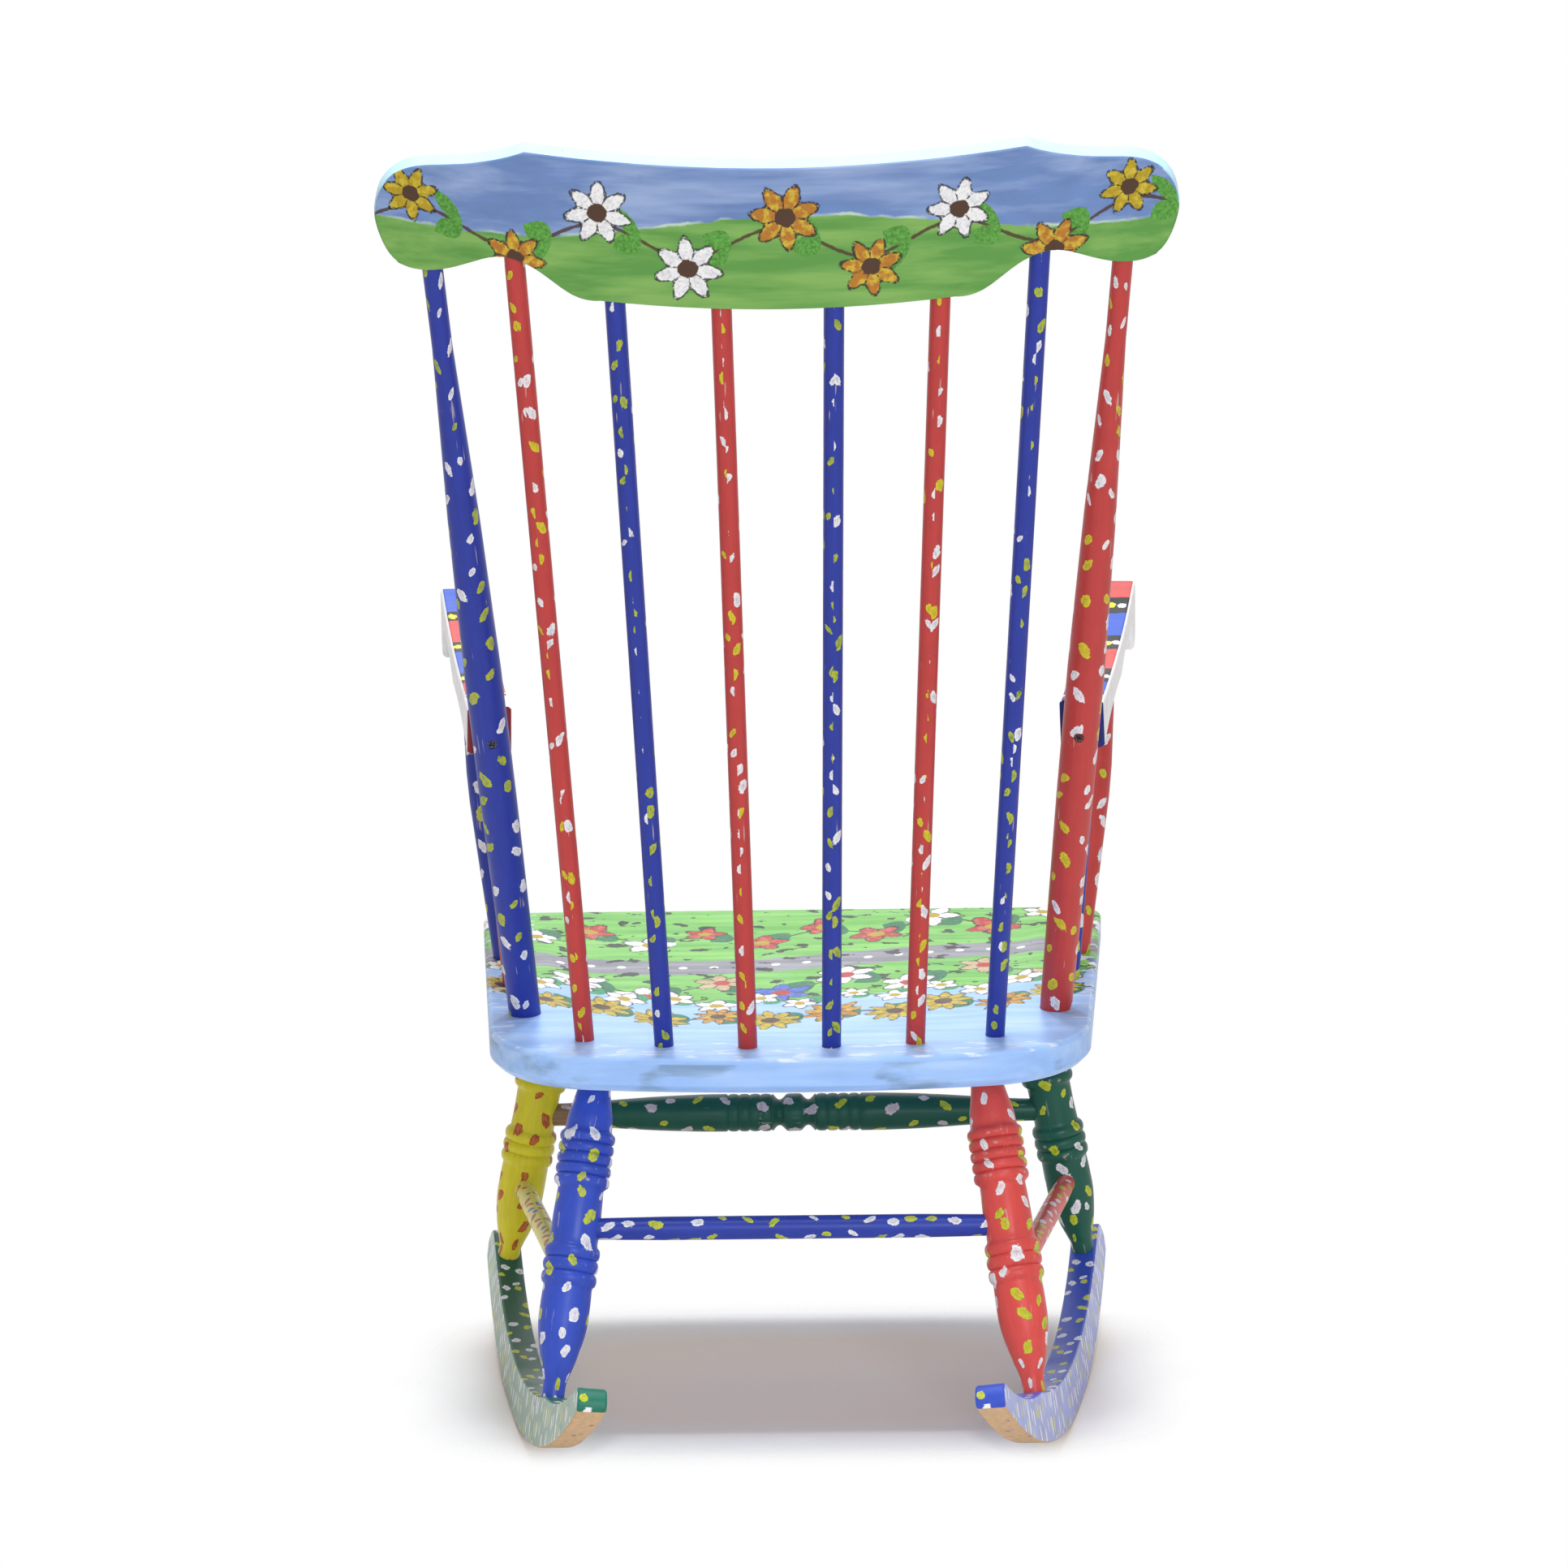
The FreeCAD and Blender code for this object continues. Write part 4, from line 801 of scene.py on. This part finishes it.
for stick, foot, head, radius, columns, dab, tints, seeds in (
        ("outer_spindle", (0.1666, 0.0516, 0.3402), (0.1974, 0.2821, 0.9942), 0.0078, 3, THIN_DAB,
         (STICK_RED, STICK_BLUE), (0, 5)),
        ("middle_spindle", (0.1016, 0.0701, 0.3389), (0.1223, 0.2821, 0.9604), 0.0078, 3, THIN_DAB,
         (STICK_BLUE, STICK_RED), (1, 4)),
        ("inner_spindle", (0.0338, 0.0776, 0.3384), (0.0423, 0.2867, 0.9552), 0.0078, 3, THIN_DAB,
         (STICK_RED, STICK_BLUE), (2, 3)),
        ("back_post", (0.2192, -0.0267, 0.3455), (0.2602, 0.265, 0.9852), 0.014, 4, (0.0076, 0.0112),
         (STICK_BLUE, STICK_RED), (6, 7))):
    for side_name, sign, ground, seed in zip(("left", "right"), (1, -1), tints, seeds):
        piece_name = f"{side_name}_{stick}"
        dab_tints = DABS_ON_BLUE if ground == STICK_BLUE else DABS_ON_RED
        wear(piece_name, dotted_stick(piece_name, on_side(foot, sign), on_side(head, sign), ground,
                                      radius, columns, 0.025, dab, seed * 3.7, bare=0.12, unevenness=0.22,
                                      **dab_tints))

# Crest rail
# A board bent across the back and sawn to a tablet between two ears. Its faces carry a folk pattern, a vine
# of round flowers over blue and green; the narrow top edge is icy blue.

CREST_LEAN = math.radians(-18.8)
CREST_FOOT = (0.0, 0.07756, 0.33842)
HILL_LINE = 0.7145
EDGE_LINE = 0.72
VINE_LINE = 0.7045
SKY = (0.135, 0.225, 0.46)
SKY_LIGHT = (0.29, 0.39, 0.62)
HILL = (0.098, 0.29, 0.056)
HILL_LIGHT = (0.205, 0.41, 0.098)
ICY = (0.44, 0.7, 0.81)
crest_piece = copy_node("crest_rail", "painted_crest_rail", 0.002)
crest_finish, shader, here, where, lengthwise = painted_at(
    "crest_folk_paint", CREST_FOOT, (CREST_LEAN, 0, 0))
base = use_group(coat, Place=lengthwise, Colour=SKY, Unevenness=0.25, Fineness=120.0)
heaven = blend(ramp(noise(lengthwise, 75, 5, (1, 1, 0.1)), 0.44, 0.72), base["Colour"], SKY_LIGHT)
hill = blend(ramp(noise(lengthwise, 85, 5, (1, 1, 0.11)), 0.4, 0.66), HILL, HILL_LIGHT)
swell = prod(calc("SINE", lift(where["X"], 14.0, 1.9)), 0.01)
swell = lift(noise(here, 60, 3), 0.006, swell)
level_at = less(where["Z"], swell)
colour = blend(ramp(level_at, HILL_LINE, HILL_LINE - 0.001), heaven, hill)
seam = calc("ABSOLUTE", less(level_at, HILL_LINE))
seam = prod(ramp(seam, 0.0016, 0.0004), ramp(noise(here, 30, 3), 0.44, 0.62))
colour = blend(seam, colour, (0.46, 0.6, 0.5))
bow = lift(prod(where["X"], where["X"]), 0.12, VINE_LINE)
colour = paint_garland(colour, here, plus(where["X"], 0.0335), less(where["Z"], bow),
                       (OCHRE, PETAL_WHITE, ORANGE_BROWN), (0.06, 0.2, 0.03), STEM_BROWN, STEM_BROWN,
                       (BRIGHT_OCHRE, CHALK, BRIGHT_OCHRE), Pitch=0.067, Radius=0.024, Petals=7.0,
                       Swing=0.012, Rise=0.009, Seed=31.0)
finish_paint(shader, colour, base["Roughness"], base["Height"])

edge_finish, shader, here, where, lengthwise = painted_at(
    "crest_edge_paint", CREST_FOOT, (CREST_LEAN, 0, 0))
shader.inputs["Specular IOR Level"].default_value = 0.08
base = use_group(coat, Place=lengthwise, Colour=ICY, Unevenness=0.14)
lower = blend(ramp(noise(lengthwise, 85, 4, (1, 1, 0.1)), 0.4, 0.66), HILL, HILL_LIGHT)
border = lift(noise(here, 50, 3), 0.01, where["Z"])
colour = blend(ramp(border, EDGE_LINE + 0.0005, EDGE_LINE - 0.0005), base["Colour"], lower)
nicks = prod(ramp(noise(here, 260, 3), 0.68, 0.71), ramp(noise(here, 22, 2), 0.5, 0.56))
colour = blend(nicks, colour, (0.32, 0.17, 0.09))
finish_paint(shader, colour, base["Roughness"], base["Height"])
crest_piece.data.materials.append(crest_finish)
crest_piece.data.materials.append(edge_finish)
lean_back = Matrix.Rotation(CREST_LEAN, 3, "X").inverted()
for face in crest_piece.data.polygons:
    face.material_index = 0 if abs((lean_back @ face.normal).y) > 0.62 else 1

# Arm posts and arm spindles
# A swelling post stands under each arm's front and a thin plain stick behind it, dotted like the back.

for stick, foot, head, radius, columns, tints, seeds in (
        ("arm_post", (0.246, -0.1993, 0.3573), (0.2683, -0.1993, 0.6199), 0.013, 4,
         (STICK_BLUE, STICK_RED), (0, 1)),
        ("arm_spindle", (0.2365, -0.1155, 0.3516), (0.2562, -0.1158, 0.6031), 0.0061, 2,
         (STICK_RED, STICK_BLUE), (2, 3))):
    for side_name, sign, ground, seed in zip(("left", "right"), (1, -1), tints, seeds):
        piece_name = f"{side_name}_{stick}"
        wear(piece_name, dotted_stick(piece_name, on_side(foot, sign), on_side(head, sign), ground,
                                      radius, columns, 0.027, (0.0075, 0.011), 60 + seed * 4.1))

# Arms
# Sawn arms that rise and curl over at the front, coped against the back posts. Their tops are banded red,
# blue and black with oval dots on the black; their flanks are white and their rear ends maroon and navy.

BAND_RED = (0.57, 0.078, 0.074)
BAND_BLUE = (0.04, 0.1, 0.5)
BAND_BLACK = (0.011, 0.011, 0.013)
ARM_WHITE = (0.8, 0.8, 0.82)
MAROON = (0.26, 0.03, 0.035)
NAVY = (0.016, 0.024, 0.18)
DOT_YELLOW = (0.76, 0.74, 0.03)
BANDED_RUN = 0.41
DOT_LONG = 0.0066
DOT_WIDE = 0.0041
LEFT_BANDS = (
    (0.0, ARM_WHITE), (0.044, DOT_YELLOW), (0.049, BAND_BLACK), (0.055, ARM_WHITE), (0.058, BAND_RED),
    (0.105, BAND_BLACK), (0.14, BAND_BLUE), (0.216, BAND_BLACK), (0.247, BAND_RED), (0.311, BAND_BLACK),
    (0.337, BAND_BLUE), (0.397, BAND_BLACK))
RIGHT_BANDS = (
    (0.0, NAVY), (0.016, BAND_RED), (0.021, ARM_WHITE), (0.026, BAND_BLACK), (0.037, BAND_BLUE),
    (0.076, BAND_BLACK), (0.128, BAND_RED), (0.196, BAND_BLACK), (0.243, BAND_BLUE), (0.31, BAND_BLACK),
    (0.352, BAND_RED), (0.396, BAND_BLACK))
LEFT_DOTS = (
    (0.323, 0.014, DOT_YELLOW), (0.232, 0.014, DOT_YELLOW), (0.121, 0.0145, DOT_YELLOW),
    (0.235, -0.0145, ARM_WHITE), (0.325, -0.014, ARM_WHITE), (0.124, -0.014, ARM_WHITE),
    (0.322, 0.001, ARM_WHITE), (0.231, 0.0, DOT_YELLOW))
RIGHT_DOTS = (
    (0.333, -0.004, DOT_YELLOW), (0.332, -0.0128, ARM_WHITE), (0.219, -0.007, DOT_YELLOW),
    (0.222, -0.0148, ARM_WHITE), (0.102, -0.006, DOT_YELLOW), (0.101, -0.0138, ARM_WHITE),
    (0.331, 0.008, DOT_YELLOW), (0.22, 0.006, ARM_WHITE), (0.103, 0.005, ARM_WHITE))
for side_name, sign, bands, end_tint, dots in (("left", 1, LEFT_BANDS, MAROON, LEFT_DOTS),
                                               ("right", -1, RIGHT_BANDS, NAVY, RIGHT_DOTS)):
    arm = copy_node(f"{side_name}_arm", f"painted_{side_name}_arm", 0.0009)
    base_of = (sign * 0.235445, 0.088875, 0.599)
    turn = Matrix.Rotation(math.radians(-90 + sign * 6.5), 3, "Z")
    turned = turn.to_euler()
    top_paint, shader, here, where, crosswise = painted_at(
        f"{side_name}_arm_top_paint", base_of, turned, "XZY")
    shader.inputs["Specular IOR Level"].default_value = 0.12
    waver = lift(noise(here, 70, 3), 0.006, -0.003)
    spot = lift(where["Y"], 0.1, plus(where["X"], waver))
    banding = shader.id_data.nodes.new("ShaderNodeValToRGB")
    banding.color_ramp.interpolation = "CONSTANT"
    stops = banding.color_ramp.elements
    for start, tint in bands[2:]:
        stops.new(start / BANDED_RUN)
    for stop, (start, tint) in zip(stops, bands):
        stop.position = start / BANDED_RUN
        stop.color = (*tint, 1)
    feed(banding.inputs, [calc("DIVIDE", spot, BANDED_RUN)])
    base = use_group(coat, Place=crosswise, Colour=banding.outputs["Color"], Unevenness=0.34,
                     Fineness=170.0)
    colour = base["Colour"]
    wobbly = lift(noise(here, 300, 2), 1.2, -0.6)
    for dot_x, dot_y, tint in dots:
        off_x = calc("DIVIDE", less(where["X"], dot_x), DOT_LONG)
        off_y = calc("DIVIDE", less(where["Y"], dot_y), DOT_WIDE)
        spread = plus(away(off_x, off_y), wobbly)
        colour = blend(ramp(spread, 1.0, 0.9), colour, tint)
    finish_paint(shader, colour, base["Roughness"], base["Height"], 0.0004)

    flank_paint, shader, here, where, lengthwise = painted_at(
        f"{side_name}_arm_flank_paint", base_of, turned)
    base = use_group(coat, Place=lengthwise, Colour=ARM_WHITE, Unevenness=0.12)
    colour = blend(ramp(noise(here, 30, 4), 0.58, 0.74), base["Colour"], (0.6, 0.62, 0.72))
    finish_paint(shader, colour, base["Roughness"], base["Height"])

    end_paint, shader, here, where, _ = painted_at(f"{side_name}_arm_end_paint", base_of, turned)
    base = use_group(coat, Place=here, Colour=end_tint, Unevenness=0.25)
    rim_near = calc("MAXIMUM", calc("ABSOLUTE", where["Y"]), less(calc("ABSOLUTE", where["Z"]), 0.003))
    rim_near = lift(noise(here, 120, 3), 0.002, rim_near)
    colour = blend(ramp(rim_near, 0.0196, 0.0202), base["Colour"], ARM_WHITE)
    finish_paint(shader, colour, base["Roughness"], base["Height"])
    for paint in (top_paint, flank_paint, end_paint):
        arm.data.materials.append(paint)
    square = turn.inverted()
    for face in arm.data.polygons:
        lean = square @ face.normal
        middle = square @ (face.center - Vector(base_of))
        if lean.z > 0.72 and middle.z > 0.012:
            face.material_index = 0
        elif lean.x < -0.5 and middle.x < 0.06:
            face.material_index = 2
        else:
            face.material_index = 1

# Arm screws
# A countersunk cross-head screw runs through each back post into its arm. The head is dark with paint and
# age, and the steel shows through in small random patches.

for side_name, tint in (("left", (0.03, 0.036, 0.075)), ("right", (0.085, 0.026, 0.026))):
    screw_finish, shader = start_paint(f"{side_name}_screw_finish")
    shader.inputs["Metallic"].default_value = 0.75
    texture = shader.id_data.nodes.new("ShaderNodeTexCoord")
    grime = noise(texture.outputs["Object"], 900, 4)
    colour = blend(ramp(grime, 0.5, 0.66), tint, (0.2, 0.19, 0.19))
    finish_paint(shader, colour, lift(grime, 0.35, 0.3), grime, 0.0002)
    wear(f"{side_name}_arm_screw", screw_finish)
